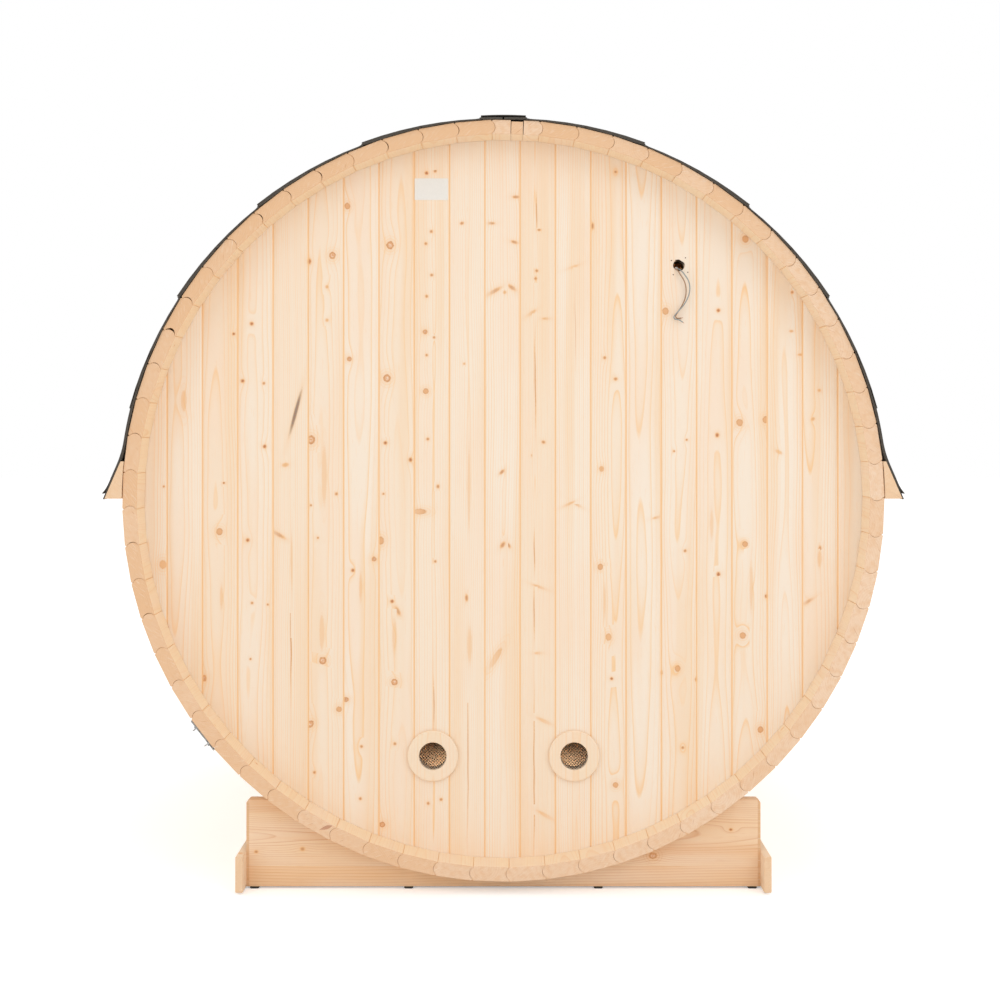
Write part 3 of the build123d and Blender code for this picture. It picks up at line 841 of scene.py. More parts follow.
def stave(loop, angle, seed, seam=None, tone=None):
    # the section carried from end to end, both ends eased, with a groove for each end wall
    rng = np.random.default_rng(seed)
    ease, half = staveLook["endEase"], barrel["length"] / 2
    room, slant = barrel["grooveRoom"], staveLook["grooveEase"]
    grooveStart, grooveEnd = barrel["wallIn"] - room, barrel["wallOut"] + room
    knots = scatterKnots(rng, staveLook["knotReach"], -half, half, staveLook["knots"])
    reach = grooveStart - staveLook["rowRoom"]
    inner = np.linspace(-reach, reach, staveLook["innerRows"])
    outerRows = np.array([half, half - ease, grooveEnd + slant, grooveEnd, grooveStart, grooveStart - slant])
    rows = np.concatenate([-outerRows, inner, outerRows[::-1]])
    layers = np.repeat(loop[None], len(rows), axis=0)
    layers[0] = layers[-1] = inset(loop, ease)
    grooved = np.isclose(np.abs(rows), grooveStart) | np.isclose(np.abs(rows), grooveEnd)
    reach = np.hypot(layers[..., 0], layers[..., 1])
    push = np.maximum(1, staveLook["grooveFloor"] / reach) * grooved[:, None] + ~grooved[:, None]
    layers = layers * push[..., None]
    rows[[0, 1]] += rng.uniform(0, staveLook["endPlay"])
    rows[[-2, -1]] -= rng.uniform(0, staveLook["endPlay"])
    layers[..., 1] -= rng.uniform(0, staveLook["radialPlay"])

    def place(across, depth, along):
        x, z = onBarrel(angle, depth, across)
        return x, along, z

    aside = rng.normal(0, staveLook["pithSpread"])
    below = rng.choice([-1, 1]) * rng.uniform(*staveLook["pithDepth"])
    pith = (aside, barrel["flat"] - staveLook["beadMiddle"] + below)
    return placedBeam(layers[..., 0], layers[..., 1], rows[:, None], place, rng, knots, tone,
                      staveLook["slope"], pith, seam)


def addStaves():
    # staves are grouped as the part groups them: by side of the barrel, then every other one
    loop = staveLoop(staveLook["coveExtra"])
    points = staveLook["beadPoints"]
    seam = np.zeros(len(loop))
    seam[[4, points + 6, points + 11, -1]] = staveLook["seam"]  # the outer and inner arrises
    rng = np.random.default_rng(staveLook["toneSeed"])
    sides = ["roof", "right", "floor", "left"]
    groups = {}
    for number in range(barrel["staves"]):
        joint = barrel["firstJoint"] + number * barrel["pitch"]
        angle = barrel["firstJoint"] + (number + 0.5) * barrel["pitch"]
        side = sides[int((angle + pi / 4) // (pi / 2)) % 4]
        turn = "odd" if number % 2 == 0 else "even"
        gape = max(cos(angle - staveLook["gapeAngle"]), 0.1) * rng.uniform(0, 1) ** 3
        gape = staveLook["coveExtra"] + gape * staveLook["coveGape"]
        for place, depth in staveLook["openJoints"].items():
            if abs(joint - radians(place)) < barrel["pitch"] / 2:
                gape = depth
        # each stave's own random tone, plus painted light: paler towards the lit side, deeper round the top
        # as painted shade
        tone = rng.uniform(*staveLook["tones"]) - staveLook["paintedSideLight"] * cos(angle - staveLook["paintedLightAngle"])
        tone = min(max(tone + max(staveLook["paintedTopShade"] * cos(angle), 0), 0.0), 1.0)
        board = stave(staveLoop(gape), angle, staveLook["seed"] + number, seam, tone)
        groups.setdefault(f"{side}_staves_{turn}", []).append(board)
    for node, members in groups.items():
        nodePiece(node, joined(members), staveSpruce, staveLook["sharp"])

    # the last two staves are cut down to let a plain strip in between them
    half = barrel["strip"] / 2
    cut = half + barrel["gap"]
    halfTurn = (barrel["closingSpan"] - barrel["pitch"]) / 2
    lean = barrel["stripAngle"] - barrel["closingAngle"]
    angle, seed = barrel["stripAngle"], staveLook["closingSeed"]
    trimmed = []
    for sign, turn in ((-1, halfTurn + lean), (1, halfTurn - lean)):
        across = loop[:, 0] * cos(turn) + loop[:, 1] * sin(turn) * sign
        radius = loop[:, 1] * cos(turn) - loop[:, 0] * sin(turn) * sign
        across = np.minimum(across, -cut) if sign < 0 else np.maximum(across, cut)
        trimmed.append(stave(stacked(across, radius), angle, seed + sign))
    nodePiece("closing_staves", joined(trimmed), staveSpruce, staveLook["sharp"])
    top = barrel["flat"] - barrel["stripDrop"]
    strip = stave(softRectangle(-half, half, barrel["inner"], top, staveLook["stripEase"]), angle, seed + 3)
    nodePiece("closing_strip", strip, staveSpruce)


addStaves()
print("staves laid")


# End walls
wallLook = {
    "board": 0.090,
    "boards": 21,
    "shift": -0.0025,
    "chamfer": 0.0021,
    "chamferDeep": 0.0011,
    "gap": 0.0001,
    "tongue": (0.014, 0.022, 0.006),  # from, to, reach
    "slack": 0.0003,  # round a tongue
    "edgeRoom": 0.001,  # inside the wall's round edge
    "rimRoom": 0.0012,
    "columns": 7,
    "holeColumns": 9,
    "rowStep": 0.075,
    "holeRows": 7,
    "holeRoom": 0.012,  # from a hole to the rows that frame it
    "rowRoom": 0.004,
    "markReach": 2.4,
    "markRoom": 0.004,
    "panels": ["rear_wall_left", "rear_wall_middle_left", "rear_wall_middle_right", "rear_wall_right"],
    "panelJoints": (-0.3175, -0.0475, 0.3125),
    "vents": [(-0.180, -0.654), (0.180, -0.654)],
    "ventBore": 0.035,
    "cableHole": (0.44731, 0.59577, 0.015),
    "seam": 0.8,
    "tone": 0.22,
    "lean": 0.012,
    "pithSpread": 0.016,
    "pithDepths": (0.03, 0.07),
    "pithLevel": 0.002,  # in the boards sawn through it
    "knots": 3.6,  # to the metre, on the front
    "knotReach": 0.04,
    "seed": 300,
    "frontSeed": 400,
    "seedStep": 20,
}
# by board centre (mm): how warm a board is, and where the pith is in those sawn through it
warmBoards = {
    -722.5: 0.95, -632.5: 0.4, -542.5: 0.8, -452.5: 0.65, -272.5: 0.7, -182.5: 0.6, -92.5: 0.4,
    87.5: 0.9, 267.5: 0.5, 357.5: 0.0, 717.5: 0.0,
}
pithBoards = {-542.5: 2, -182.5: 4, -92.5: 2, -2.5: 4, 87.5: -7, 177.5: 6}
# marks on the rear wall, mm from the axis: right, up, half width and height, turn in degrees, force
wallMarks = [
    (-398, 747, 7, 8, 0, .92), (-495, 606, 5, 8, 0, 1), (-436, 621, 8, 9, 0, 1), (-450, 541, 4, 4, 0, .8),
    (-450, 456, 4, 4, 0, .8), (-642, 447, 5, 5, 0, 1), (-688, 421, 4, 4, 0, 1), (-665, 301, 5, 5, 0, 1),
    (-611, 295, 3.5, 4, 0, .9), (-393, 357, 6, 6, 0, 1), (-289, 647, 9, 10, 0, 1), (-297, 308, 9, 10, 0, 1),
    (-196, 831, 5, 5, 0, 1), (-174, 836, 4, 4, 0, .9), (-184, 682, 4, 4, 0, .9), (-198, 651, 4, 4, 0, .9),
    (-183, 571, 4, 4, 0, .9), (-196, 517, 4, 4, 0, .9), (-200, 426, 6, 6, 0, 1),
    (-177, 412, 3.5, 3.5, 0, .9), (-196, 367, 3.5, 3.5, 0, .9), (-198, 275, 7, 7, 0, .92),
    (-106, 703, 5, 4, 20, .9), (-100, 345, 3, 3, 0, .8), (-31, 703, 9, 3.5, 0, .9), (32, 770, 9, 4, 0, .9),
    (28, 655, 9, 4, -15, .9), (-25, 529, 20, 5, 30, .9), (22, 539, 12, 5, -35, .9), (3, 527, 4, 4, 0, .8),
    (91, 686, 5, 3, 0, .9), (85, 582, 4, 4, 0, .9), (82, 562, 4, 4, 0, .9), (71, 474, 14, 4, 35, .8),
    (109, 460, 10, 3, 0, .8), (178, 592, 15, 3, 20, .7), (258, 360, 4, 4, 0, .9), (286, 306, 5, 4, 0, .9),
    (286, 834, 4, 4, 0, .9), (227, 696, 4, 9, 0, .9), (617, 663, 8, 9, 0, .9), (413, 479, 8, 9, 0, .9),
    (548, 481, 5, 5, 0, 1), (736, 527, 4, 4, 0, .9), (734, 428, 5, 3, 0, .8), (757, 368, 6, 3, 0, .8),
    (805, 277, 4, 4, 0, .8), (-724, -83, 8, 9, 0, .92), (-713, 41, 3, 3, 0, 1), (-866, 32, 3, 3, 0, .9),
    (-868, -167, 9, 11, 0, .8), (-609, 134, 5, 5, 0, 1), (-652, -105, 5, 5, 0, 1),
    (-641, -265, 3.5, 3.5, 0, .9), (-601, -269, 3, 3, 0, .9), (-491, 151, 10, 11, 0, 1),
    (-491, -16, 3, 3, 0, .9), (-426, 13, 4, 4, 0, .9), (-473, -99, 3, 3, 0, .9), (-384, -182, 5, 5, 0, 1),
    (-330, -153, 6, 6, 0, 1), (-556, 87, 8, 5, 10, .8), (-575, -90, 20, 5, -30, .9),
    (-530, 221, 4, 50, -15, 1.12), (-301, 143, 5, 5, 0, 1), (-237, 100, 5, 6, 0, 1),
    (-306, 13, 3, 3, 0, .9), (-313, -106, 8, 10, 0, .9), (-284, -261, 5, 5, 0, 1),
    (-270, -285, 13, 5, -60, .9), (-214, -32, 17, 7, 0, .9), (-167, 32, 4, 5, 0, .9),
    (-193, 153, 4, 4, 0, .9), (-174, -159, 3.5, 3.5, 0, .9), (-94, -252, 4, 9, 0, .9),
    (-4, 69, 8, 4, 45, .9), (-2, -117, 9, 5, 55, .9), (13, -118, 8, 4, -55, .9), (102, 145, 5, 4, -20, .9),
    (75, 111, 4, 4, 0, .9), (91, -224, 18, 3, -20, .8), (166, -13, 15, 3, 25, .8),
    (189, -15, 12, 3, -30, .8), (250, 77, 6, 7, 0, .85), (247, -173, 7, 8, 0, .92),
    (268, -352, 7, 9, 0, .85), (602, 195, 8, 9, 0, .9), (668, 202, 7, 9, 0, .9), (545, 163, 5, 6, 0, 1),
    (467, 151, 3, 3, 0, .9), (435, 122, 3, 3, 0, .9), (616, -115, 7, 7, 0, .92), (548, -192, 5, 6, 0, 1),
    (610, -348, 8, 8, 0, .92), (463, -132, 4, 4, 0, .9), (670, -248, 4, 5, 0, 1), (807, -127, 4, 8, 0, .9),
    (777, -261, 18, 4, 30, .9), (702, 120, 8, 4, -30, .7), (391, -47, 10, 3, 15, .8),
    (789, 204, 5, 4, 40, .8), (-461, -412, 9, 9, 0, 1), (-278, -467, 8, 8, 0, 1), (-402, -511, 8, 6, 0, 1),
    (-419, -536, 7, 7, 0, .9), (-493, -574, 8, 10, -40, 1), (-362, -631, 4, 4, 0, .9),
    (-277, -624, 4, 4, 0, .9), (-482, -697, 4, 4, 0, .9), (-645, -408, 3, 3, 0, .9),
    (-763, -457, 6, 8, 0, 1), (-365, -764, 4, 4, 0, .9), (-309, -830, 7, 7, 0, 1),
    (444, -432, 7, 8, 0, .92), (655, -588, 7, 8, 0, .92), (457, -634, 4, 4, 0, .9),
    (403, -443, 3, 6, 0, .9), (491, -460, 3, 6, 0, .9), (-20, -405, 28, 7, 60, .8),
    (89, -393, 10, 3, 0, .7), (106, -567, 20, 4, -25, .7), (108, -807, 22, 4, -30, .7),
    (276, -458, 4, 4, 0, 1), (286, -729, 7, 7, 0, .9), (-159, -766, 4, 4, 0, .9), (-192, -776, 4, 4, 0, .9),
    # drying checks along the pith, and resin streaks
    (85, 730, 1.4, 45, 0, .85), (81, 300, 1.5, 110, 0, .9), (79, -135, 1.4, 48, 0, .8),
    (78, -290, 1.4, 60, 0, .8), (78, -700, 1.4, 190, 0, .8), (-91, -655, 1.4, 180, 0, .7),
    (-542, -365, 1.6, 130, 0, .9), (-178, -522, 1.4, 60, 0, .8), (183, 440, 0.9, 90, 0, .45),
    (-88, 30, 3.5, 90, 0, .45), (-815, 251, 7, 26, 0, .5), (-457, 60, 6, 70, 0, .45),
    (-364, -225, 3.5, 33, 0, .5), (-719, -250, 3.5, 28, 0, .45), (-540, -160, 2.4, 60, 0, .5),
    (531, -65, 4, 34, 0, .4), (632, -225, 4, 55, 0, .45), (258, -262, 4, 40, 0, .35),
    (806, -152, 5, 20, 0, .5), (-463, -340, 6, 42, 0, .45), (-278, -351, 5, 38, 0, .45),
    (-86, -372, 5, 40, 0, .45),
]


def boardLoop(left, right, columns):
    # a board's section, across by depth: face, tongue, back, groove
    ease, deep, slack = wallLook["chamfer"], wallLook["chamferDeep"], wallLook["slack"]
    thick = barrel["wallOut"] - barrel["wallIn"]
    low, high, reach = wallLook["tongue"]
    edge, other = right - wallLook["gap"], left + wallLook["gap"]
    face = stacked(np.linspace(other + ease, edge - ease, columns), 0.0)
    back = stacked(np.linspace(edge, other, columns), thick)
    tip, floor = edge + reach, other + reach + slack
    tongue = [(edge, deep), (edge, low), (tip, low + slack), (tip, high - slack), (edge, high)]
    low, high = low - slack, high + slack
    groove = [(other, high), (floor, high), (floor, low), (other, low), (other, deep)]
    return np.concatenate([face, tongue, back, groove])


def wallBoard(left, right, low, high, marks, seed, hole=None, facing=-1, pith=None, tone=None,
              outer=barrel["wallOut"], ends=(-1, 1)):
    # an upright board: low and high give its ends at each place across; it faces -1 rear or 1 front
    rng = np.random.default_rng(seed)
    columns = wallLook["holeColumns"] if hole else wallLook["columns"]
    loop = boardLoop(left, right, columns)
    limit = barrel["wallRadius"] - wallLook["rimRoom"]
    across = np.clip(loop[:, 0], max(ends[0], -limit), min(ends[1], limit))
    bottom, top = low(across), high(across)
    start, span = bottom.min(), top.max() - bottom.min()
    shares = [np.linspace(0, 1, max(3, int(span / wallLook["rowStep"])))]
    for mark in marks:
        spread = wallLook["markReach"] * max(mark[2] * abs(sin(mark[4])), mark[3] * cos(mark[4]))
        shares.append((mark[1] + spread * np.array([-1, 0, 1]) - start) / span)
    share = np.unique(np.round(np.concatenate(shares), 4))
    share = share[(share >= 0) & (share <= 1)]
    if hole:
        reach = (hole[2] + wallLook["holeRoom"]) * np.linspace(-1, 1, wallLook["holeRows"])
        block = (hole[1] + reach - start) / span
        clear = (share < block[0] - wallLook["rowRoom"]) | (share > block[-1] + wallLook["rowRoom"])
        share = np.sort(np.concatenate([share[clear], block]))
    rows, count = len(share), len(loop)
    spots = stacked(across, loop[:, 1], bottom + share[:, None] * (top - bottom)).reshape(-1, 3)
    quads = ringQuads(rows, count)
    seam = np.zeros(count)
    seam[[columns - 1, count - 1]] = wallLook["seam"]  # the chamfers beside a joint are a deeper colour
    seams = np.tile(seam, rows - 1)
    if hole:
        first, last = np.searchsorted(share, block[[0, -1]])
        spots, quads, kept = boredBoard(spots, quads, hole, columns, count, first, last)
        seams = np.concatenate([seams[kept], np.zeros(len(quads) - kept.sum())])
    lean = wallLook["lean"] * rng.uniform(-1, 1)
    middle = (left + right) / 2
    x, depth, up = spots.T
    grain = stacked(x - middle, depth + lean * up, up)
    points = stacked(-facing * x, facing * (outer - depth), barrel["axis"] + up)
    local = [(mark[0] - middle, *mark[1:]) for mark in marks]
    log, tone = logAndTone(rng, pith, tone, 0, wallLook["pithSpread"], wallLook["pithDepths"])
    return timber(points, grain, quads, endFaces(rows, count), local, log, tone, 0, seams)


def boredBoard(spots, quads, hole, columns, count, first, last):
    # swaps a block of face and back quads for rings round a hole, and lines the hole
    x, z, radius = hole
    number = np.arange(len(spots)).reshape(-1, count)
    inside = np.zeros((len(number) - 1, count), bool)
    points, fresh, rings = [spots], [], []
    for start, step in ((0, 1), (columns + 5, -1)):  # the back comes after the face and the tongue
        inside[first:last, start:start + columns - 1] = True
        rim = rimOf(number[first:last + 1, start:start + columns][:, ::step])
        turn = np.arctan2(spots[rim, 2] - z, spots[rim, 0] - x)
        rings.append(sum(len(some) for some in points) + np.arange(len(rim)))
        points.append(stacked(x + radius * np.cos(turn), spots[rim, 1], z + radius * np.sin(turn)))
        fresh.append(bridge(rim, rings[-1]))
    kept = ~inside.ravel()
    return np.concatenate(points), np.concatenate([quads[kept], *fresh, bridge(*rings)]), kept


def wallTop(across):
    # the wall's round edge, up from the axis: a half circle
    radius = barrel["wallRadius"]
    return np.sqrt(radius * radius - across * across)


def wallFoot(across):
    return -wallTop(across)


def levelEdge(height):
    # a straight end, up from the axis
    return lambda across: 0 * across + height


def addRearWall():
    edge, half = barrel["wallRadius"] - wallLook["edgeRoom"], wallLook["boards"] // 2
    joints = wallLook["shift"] + wallLook["board"] * (np.arange(-half, half + 2) - 0.5)
    panels = {node: [] for node in wallLook["panels"]}
    marks = np.array(wallMarks, float) * [0.001, 0.001, 0.001, 0.001, pi / 180, 1]
    holes = [(*place, wallLook["ventBore"]) for place in wallLook["vents"]] + [wallLook["cableHole"]]
    room = wallLook["markRoom"]
    for number, (left, right) in enumerate(zip(joints[:-1], joints[1:])):
        left, right = max(left, -edge), min(right, edge)
        mine = marks[(marks[:, 0] > left - room) & (marks[:, 0] < right + room)]
        hole = next((hole for hole in holes if left < hole[0] < right), None)
        middle = (left + right) / 2
        centre = round(middle * 1000, 1)
        pith = (pithBoards[centre] / 1000, wallLook["pithLevel"]) if centre in pithBoards else None
        tone = warmBoards.get(centre, wallLook["tone"])
        board = wallBoard(left, right, wallFoot, wallTop, mine, wallLook["seed"] + number, hole,
                          pith=pith, tone=tone)
        panels[wallLook["panels"][np.searchsorted(wallLook["panelJoints"], middle)]].append(board)
    for node, boards in panels.items():
        nodePiece(node, joined(boards), wallSpruce)


addRearWall()
print("rear wall boarded")


# Front wall and door
doorLook = {
    "half": 0.320,
    "reach": 0.8004,
    "frameThick": 0.030,
    "frameOut": 0.922,
    "frameIn": 0.866,
    "leafHalf": 0.287,
    "leafReach": 0.7674,
    "frameEase": 0.003,
    "jamb": {"rows": 25, "ease": 0.0015, "tone": None, "knots": 4.0, "knotReach": 0.012, "seed": 520},
    "sill": {"rows": 9, "ease": 0.0015, "tone": None, "knots": 0.0, "knotReach": 0.012, "seed": 530},
    "leafSeed": 540,
    "hingeSide": 0.2885,
    "hingeRise": 0.5474,
    "hingeTall": 0.080,
    "hingeWide": 0.028,
    "hingeThick": 0.0025,
    "hingeCorner": 0.004,
    "hingeEase": 0.0005,
    "knuckle": 0.005,
    "knuckleParts": 5,
    "knuckleGroove": 0.0006,
    "screwsAcross": (-0.018, 0.018),
    "screwsUp": (-0.028, 0.0, 0.028),
    "screwHead": [(0.0036, 0.0), (0.0036, 0.0003), (0.0028, 0.0008), (0.0012, 0.001), (0.001, 0.0006)],
    "knobSide": -0.217,
    "knobProfile": [
        (0.0128, 0.0), (0.0120, 0.002), (0.0108, 0.008), (0.0108, 0.014), (0.0125, 0.0185),
        (0.0165, 0.0215), (0.0205, 0.0255), (0.0225, 0.0305), (0.0226, 0.0365), (0.0205, 0.0425),
        (0.0155, 0.0463), (0.0085, 0.0478), (0.0015, 0.0480),
    ],
    "knobLog": (0.03, 0.02, 0.37),
    "knobTone": 0.6,
    "zinc": (0.62, 0.63, 0.64, 1),
    "zincDull": (0.40, 0.41, 0.42, 1),
}


def boardRun(start, end, low, high, seed, outer):
    # boards side by side from start to end; seen from the front, so x is turned round
    count = max(1, round((end - start) / wallLook["board"]))
    joints = np.linspace(start, end, count + 1)
    boards = []
    for number, (left, right) in enumerate(zip(joints[:-1], joints[1:]), seed):
        rng = np.random.default_rng(number)
        middle = (left + right) / 2
        bottom, top = low(middle), high(middle)
        marks = scatterKnots(rng, wallLook["knotReach"], bottom, top, wallLook["knots"] * (top - bottom))
        marks[:, 0] += middle
        board = wallBoard(left, right, low, high, marks, number, facing=1, outer=outer, ends=(start, end))
        boards.append(board)
    return joined(boards)


def addFrontWall():
    half, reach = doorLook["half"], doorLook["reach"]
    edge = barrel["wallRadius"] - wallLook["edgeRoom"]
    runs = {
        "front_wall_right": (-edge, -half, wallFoot, wallTop),
        "front_wall_left": (half, edge, wallFoot, wallTop),
        "front_wall_over_door": (-half, half, levelEdge(reach), wallTop),
        "front_wall_under_door": (-half, half, wallFoot, levelEdge(-reach)),
    }
    for number, (node, run) in enumerate(runs.items()):
        seed = wallLook["frontSeed"] + wallLook["seedStep"] * number
        nodePiece(node, boardRun(*run, seed, barrel["wallOut"]), wallSpruce)


def addDoor():
    half, reach, thick = doorLook["half"], doorLook["reach"], doorLook["frameThick"]
    out, inner, axis = doorLook["frameOut"], doorLook["frameIn"], barrel["axis"]

    def bar(middle, low, high, place, number, look):
        section = softRectangle(middle - thick / 2, middle + thick / 2, inner, out, doorLook["frameEase"])
        return beam(section, low, high, place, number, look)

    side, foot, head = half - thick / 2, axis - reach, axis + reach
    jambs, rails, reach = [], [], half - thick
    for number, x in enumerate((-side, side)):
        jambs.append(bar(x, foot, head, lambda a, d, l: (a, d, l), number, doorLook["jamb"]))
    for number, z in enumerate((head - thick / 2, foot + thick / 2)):
        rails.append(bar(z, -reach, reach, lambda a, d, l: (l, d, a), number, doorLook["sill"]))
    nodePiece("door_jambs", joined(jambs), joineryPine)
    nodePiece("door_head_and_sill", joined(rails), joineryPine)

    wide, tall = doorLook["leafHalf"], doorLook["leafReach"]
    leaf = boardRun(-wide, wide, levelEdge(-tall), levelEdge(tall), doorLook["leafSeed"], out)
    nodePiece("door_leaf", leaf, joineryPine)
    addDoorHardware()


def addDoorHardware():
    out, axis, thick = doorLook["frameOut"], barrel["axis"], doorLook["hingeThick"]
    tall, wide, ease = doorLook["hingeTall"], doorLook["hingeWide"], doorLook["hingeEase"]
    plate = softRectangle(-wide, wide, -tall / 2, tall / 2, doorLook["hingeCorner"], 5)
    sheet = sheetOf(plate, [(0, 0.0), (0, thick - ease), (ease, thick)])
    # the knuckle's barrels, with a fine groove between each pair
    knuckle, groove, count = doorLook["knuckle"], doorLook["knuckleGroove"], doorLook["knuckleParts"]
    profile = [(knuckle - groove, -tall / 2)]
    for joint in range(count):
        start = -tall / 2 + joint * tall / count
        profile += [(knuckle, start + groove), (knuckle, start + tall / count - groove)]
        profile.append((knuckle - groove, start + tall / count))
    barrels = moved(turned(profile, 24), lambda x, y, z: (x, z, y + knuckle))
    head = turned(doorLook["screwHead"], 16)
    screws = []
    for x in doorLook["screwsAcross"]:
        for z in doorLook["screwsUp"]:
            screws.append(moved(head, lambda px, py, pz: (px + x, py + z, pz + thick)))
    hinge = joined([sheet, barrels, *screws])
    side, pair = doorLook["hingeSide"], []
    for rise in (doorLook["hingeRise"], -doorLook["hingeRise"]):
        pair.append(moved(hinge, lambda x, y, z: (side + x, out + z, axis + rise + y)))
    nodePiece("door_hinges", joined(pair), zincSteel)

    knob = turned(doorLook["knobProfile"], 40)
    points, quads, caps = knob["points"], np.array(knob["faces"][:-2]), knob["faces"][-2:]
    wood = timber(points, points, quads, caps, [], doorLook["knobLog"], doorLook["knobTone"])
    wood = moved(wood, lambda x, y, z: (doorLook["knobSide"] + x, out + z, axis - y))
    nodePiece("door_knob", wood, joineryPine)


zincSteel = metalFinish("zincSteel", doorLook["zinc"], doorLook["zincDull"], 0.28, 70.0)
addFrontWall()
addDoor()
print("front wall and door made")


# Base: two saddle boards, a rail along each side, rubber pads
baseLook = {
    "width": 1.300,
    "height": 0.220,
    "thick": 0.036,
    "foot": 0.005,
    "corner": 0.007,
    "saddle": 0.951293,
    "middle": 0.926,
    "ease": 0.002,
    "railThick": 0.019,
    "railHigh": 0.090,
    "gluedBoard": 0.052,  # height of the lower of the two boards that a saddle is glued up from
    "gluedLog": (-0.200, 0.050, 0.83),
    "gluedTone": 0.95,
    "tone": 0.2,
    "slope": 0.02,
    "pith": (0.02, -0.065),
    "knotReach": 0.1,
    "knots": 9.0,
    "hollowRows": 101,
    "shoulderRows": 5,
    "seed": 600,
    "railEase": 0.002,
    "rail": {"rows": 33, "ease": 0.0015, "tone": 0.1, "knots": 10.0, "knotReach": 0.008, "seed": 610},
    "rubber": (0.035, 0.033, 0.032, 1),
}
# knots on the rear saddle board: right and up (mm from the middle of the foot), size, turn, force
saddleKnots = [
    (378, 78, 10, 8, 0, 1), (575, 144, 5, 4, 0, 1), (-557, 167, 4, 3, 0, 1), (-508, 95, 6, 5, 0, .88),
    (-625, 88, 5, 4, 0, .9),
]


def addBase():
    half, foot, high = baseLook["width"] / 2, baseLook["foot"], baseLook["height"]
    top, axis, radius, ease = foot + high, barrel["axis"], baseLook["saddle"], baseLook["ease"]
    meet = sqrt(radius ** 2 - (axis - top) ** 2)  # where the hollow comes out at the top
    corner = half - baseLook["corner"]
    hollow = np.linspace(-meet, meet, baseLook["hollowRows"])
    shoulder = np.linspace(meet, corner, baseLook["shoulderRows"])
    stations = np.unique(np.concatenate([hollow, shoulder, -shoulder, [-half, -corner, corner, half]]))
    aside = np.abs(stations)
    saddle = axis - np.sqrt(radius ** 2 - np.minimum(aside, meet) ** 2)
    rise = np.minimum(np.where(aside < meet, saddle, top), top - np.maximum(aside - corner, 0))

    # a section glued up from two boards, its upper half following the hollow
    thick, glued = baseLook["thick"] / 2, foot + baseLook["gluedBoard"]
    section = softRectangle(-thick, thick, foot, top, ease)
    quarter = len(section) // 4
    section = np.insert(section, [quarter, 3 * quarter], [(thick, glued), (-thick, glued)], axis=0)
    depth, level = section.T
    across = level + (level > (foot + top) / 2) * (rise - top)[:, None]
    across[:, np.isclose(level, glued)] = np.minimum(glued, rise - 2 * ease)[:, None]
    below = np.minimum(level, np.roll(level, -1)) < glued - ease
    lower = np.flatnonzero(np.tile(below, len(stations) - 1))
    drawn = [(z / 1000 - high / 2, x / 1000, b / 1000, a / 1000, t, f) for x, z, a, b, t, f in saddleKnots]
    for sign, node in ((-1, "rear_cradle"), (1, "front_cradle")):
        rng = np.random.default_rng(baseLook["seed"] + sign)
        knots = drawn
        if sign > 0:
            knots = scatterKnots(rng, baseLook["knotReach"], -half, half, baseLook["knots"])
        y = sign * baseLook["middle"]
        shape = placedBeam(across, depth, stations[:, None], lambda a, d, l: (l, y + d, a), rng, knots,
                           baseLook["tone"], baseLook["slope"], baseLook["pith"])
        shape["FACE"]["tone"][lower] = baseLook["gluedTone"]
        shape["FACE"]["log"][lower] = baseLook["gluedLog"]
        nodePiece(node, shape, basePine)

    rails, length = [], barrel["length"] / 2
    for number, sign in enumerate((-1, 1)):
        inner, outer = sorted((sign * half, sign * (half + baseLook["railThick"])))
        section = softRectangle(inner, outer, foot, foot + baseLook["railHigh"], baseLook["railEase"])
        rails.append(beam(section, -length, length, lambda a, d, l: (a, l, d), number, baseLook["rail"]))
    nodePiece("base_rails", joined(rails), railPine)
    rubber = plasticFinish("padRubber", baseLook["rubber"], 0.62)
    dress("rear_foot_pads", rubber)
    dress("front_foot_pads", rubber)


addBase()
print("base made")


# Tension bands
bandLook = {
    "inner": 0.951293,
    "outer": 0.952293,
    "wide": 0.030,
    "place": 0.892,
    "tensioner": radians(231.8),
    "opening": 0.026,  # from the middle to the outside of a lug
    "lugThick": 0.003,
    "boltRise": 0.028,
    "boltLong": 0.096,
    "boltRadius": 0.003,
    "threadPitch": 0.001,
    "threadDeep": 0.0004,
    "nutFlats": 0.010,
    "nutHigh": 0.005,
    "rows": 241,
    "ease": 0.0003,
    "threadTaper": 0.001,
    "threadRows": 6,  # to a pitch
    "threadSides": 12,
    "nutSides": 36,
}


def threadedRod():
    # radius falls and rises once a pitch, and the phase turns with the angle: one helical thread
    half, pitch, sides = bandLook["boltLong"] / 2, bandLook["threadPitch"], bandLook["threadSides"]
    rows = int(bandLook["boltLong"] / pitch * bandLook["threadRows"]) + 1
    along = np.linspace(-half, half, rows)[:, None]
    around = np.arange(sides) * tau / sides
    ridge = np.abs(((along / pitch - around / tau) % 1) * 2 - 1)
    taper = np.clip((half - np.abs(along)) / bandLook["threadTaper"], 0, 1)
    radius = bandLook["boltRadius"] - bandLook["threadDeep"] * (1 - ridge * taper)
    return loft(stacked(along, radius * np.cos(around), radius * np.sin(around)))


def hexNut(side):
    # six flats whose outer corners are turned off: limits by height, in half flats
    flats, high, sides = bandLook["nutFlats"] / 2, bandLook["nutHigh"], bandLook["nutSides"]
    around = np.arange(sides) * tau / sides
    hexagon = flats / np.cos((around + pi / 6) % (pi / 3) - pi / 6)
    limits = [0.94, 1.04, 1.16, 1.16, 1.06, 0.94]
    rises = np.array([0.0, 0.0006, 0.0016, high - 0.0012, high - 0.0004, high])[:, None]
    radius = np.minimum(hexagon, flats * np.array(limits)[:, None])
    start = side * (bandLook["opening"] + rises)
    return loft(stacked(start, radius * np.cos(around), radius * np.sin(around)))


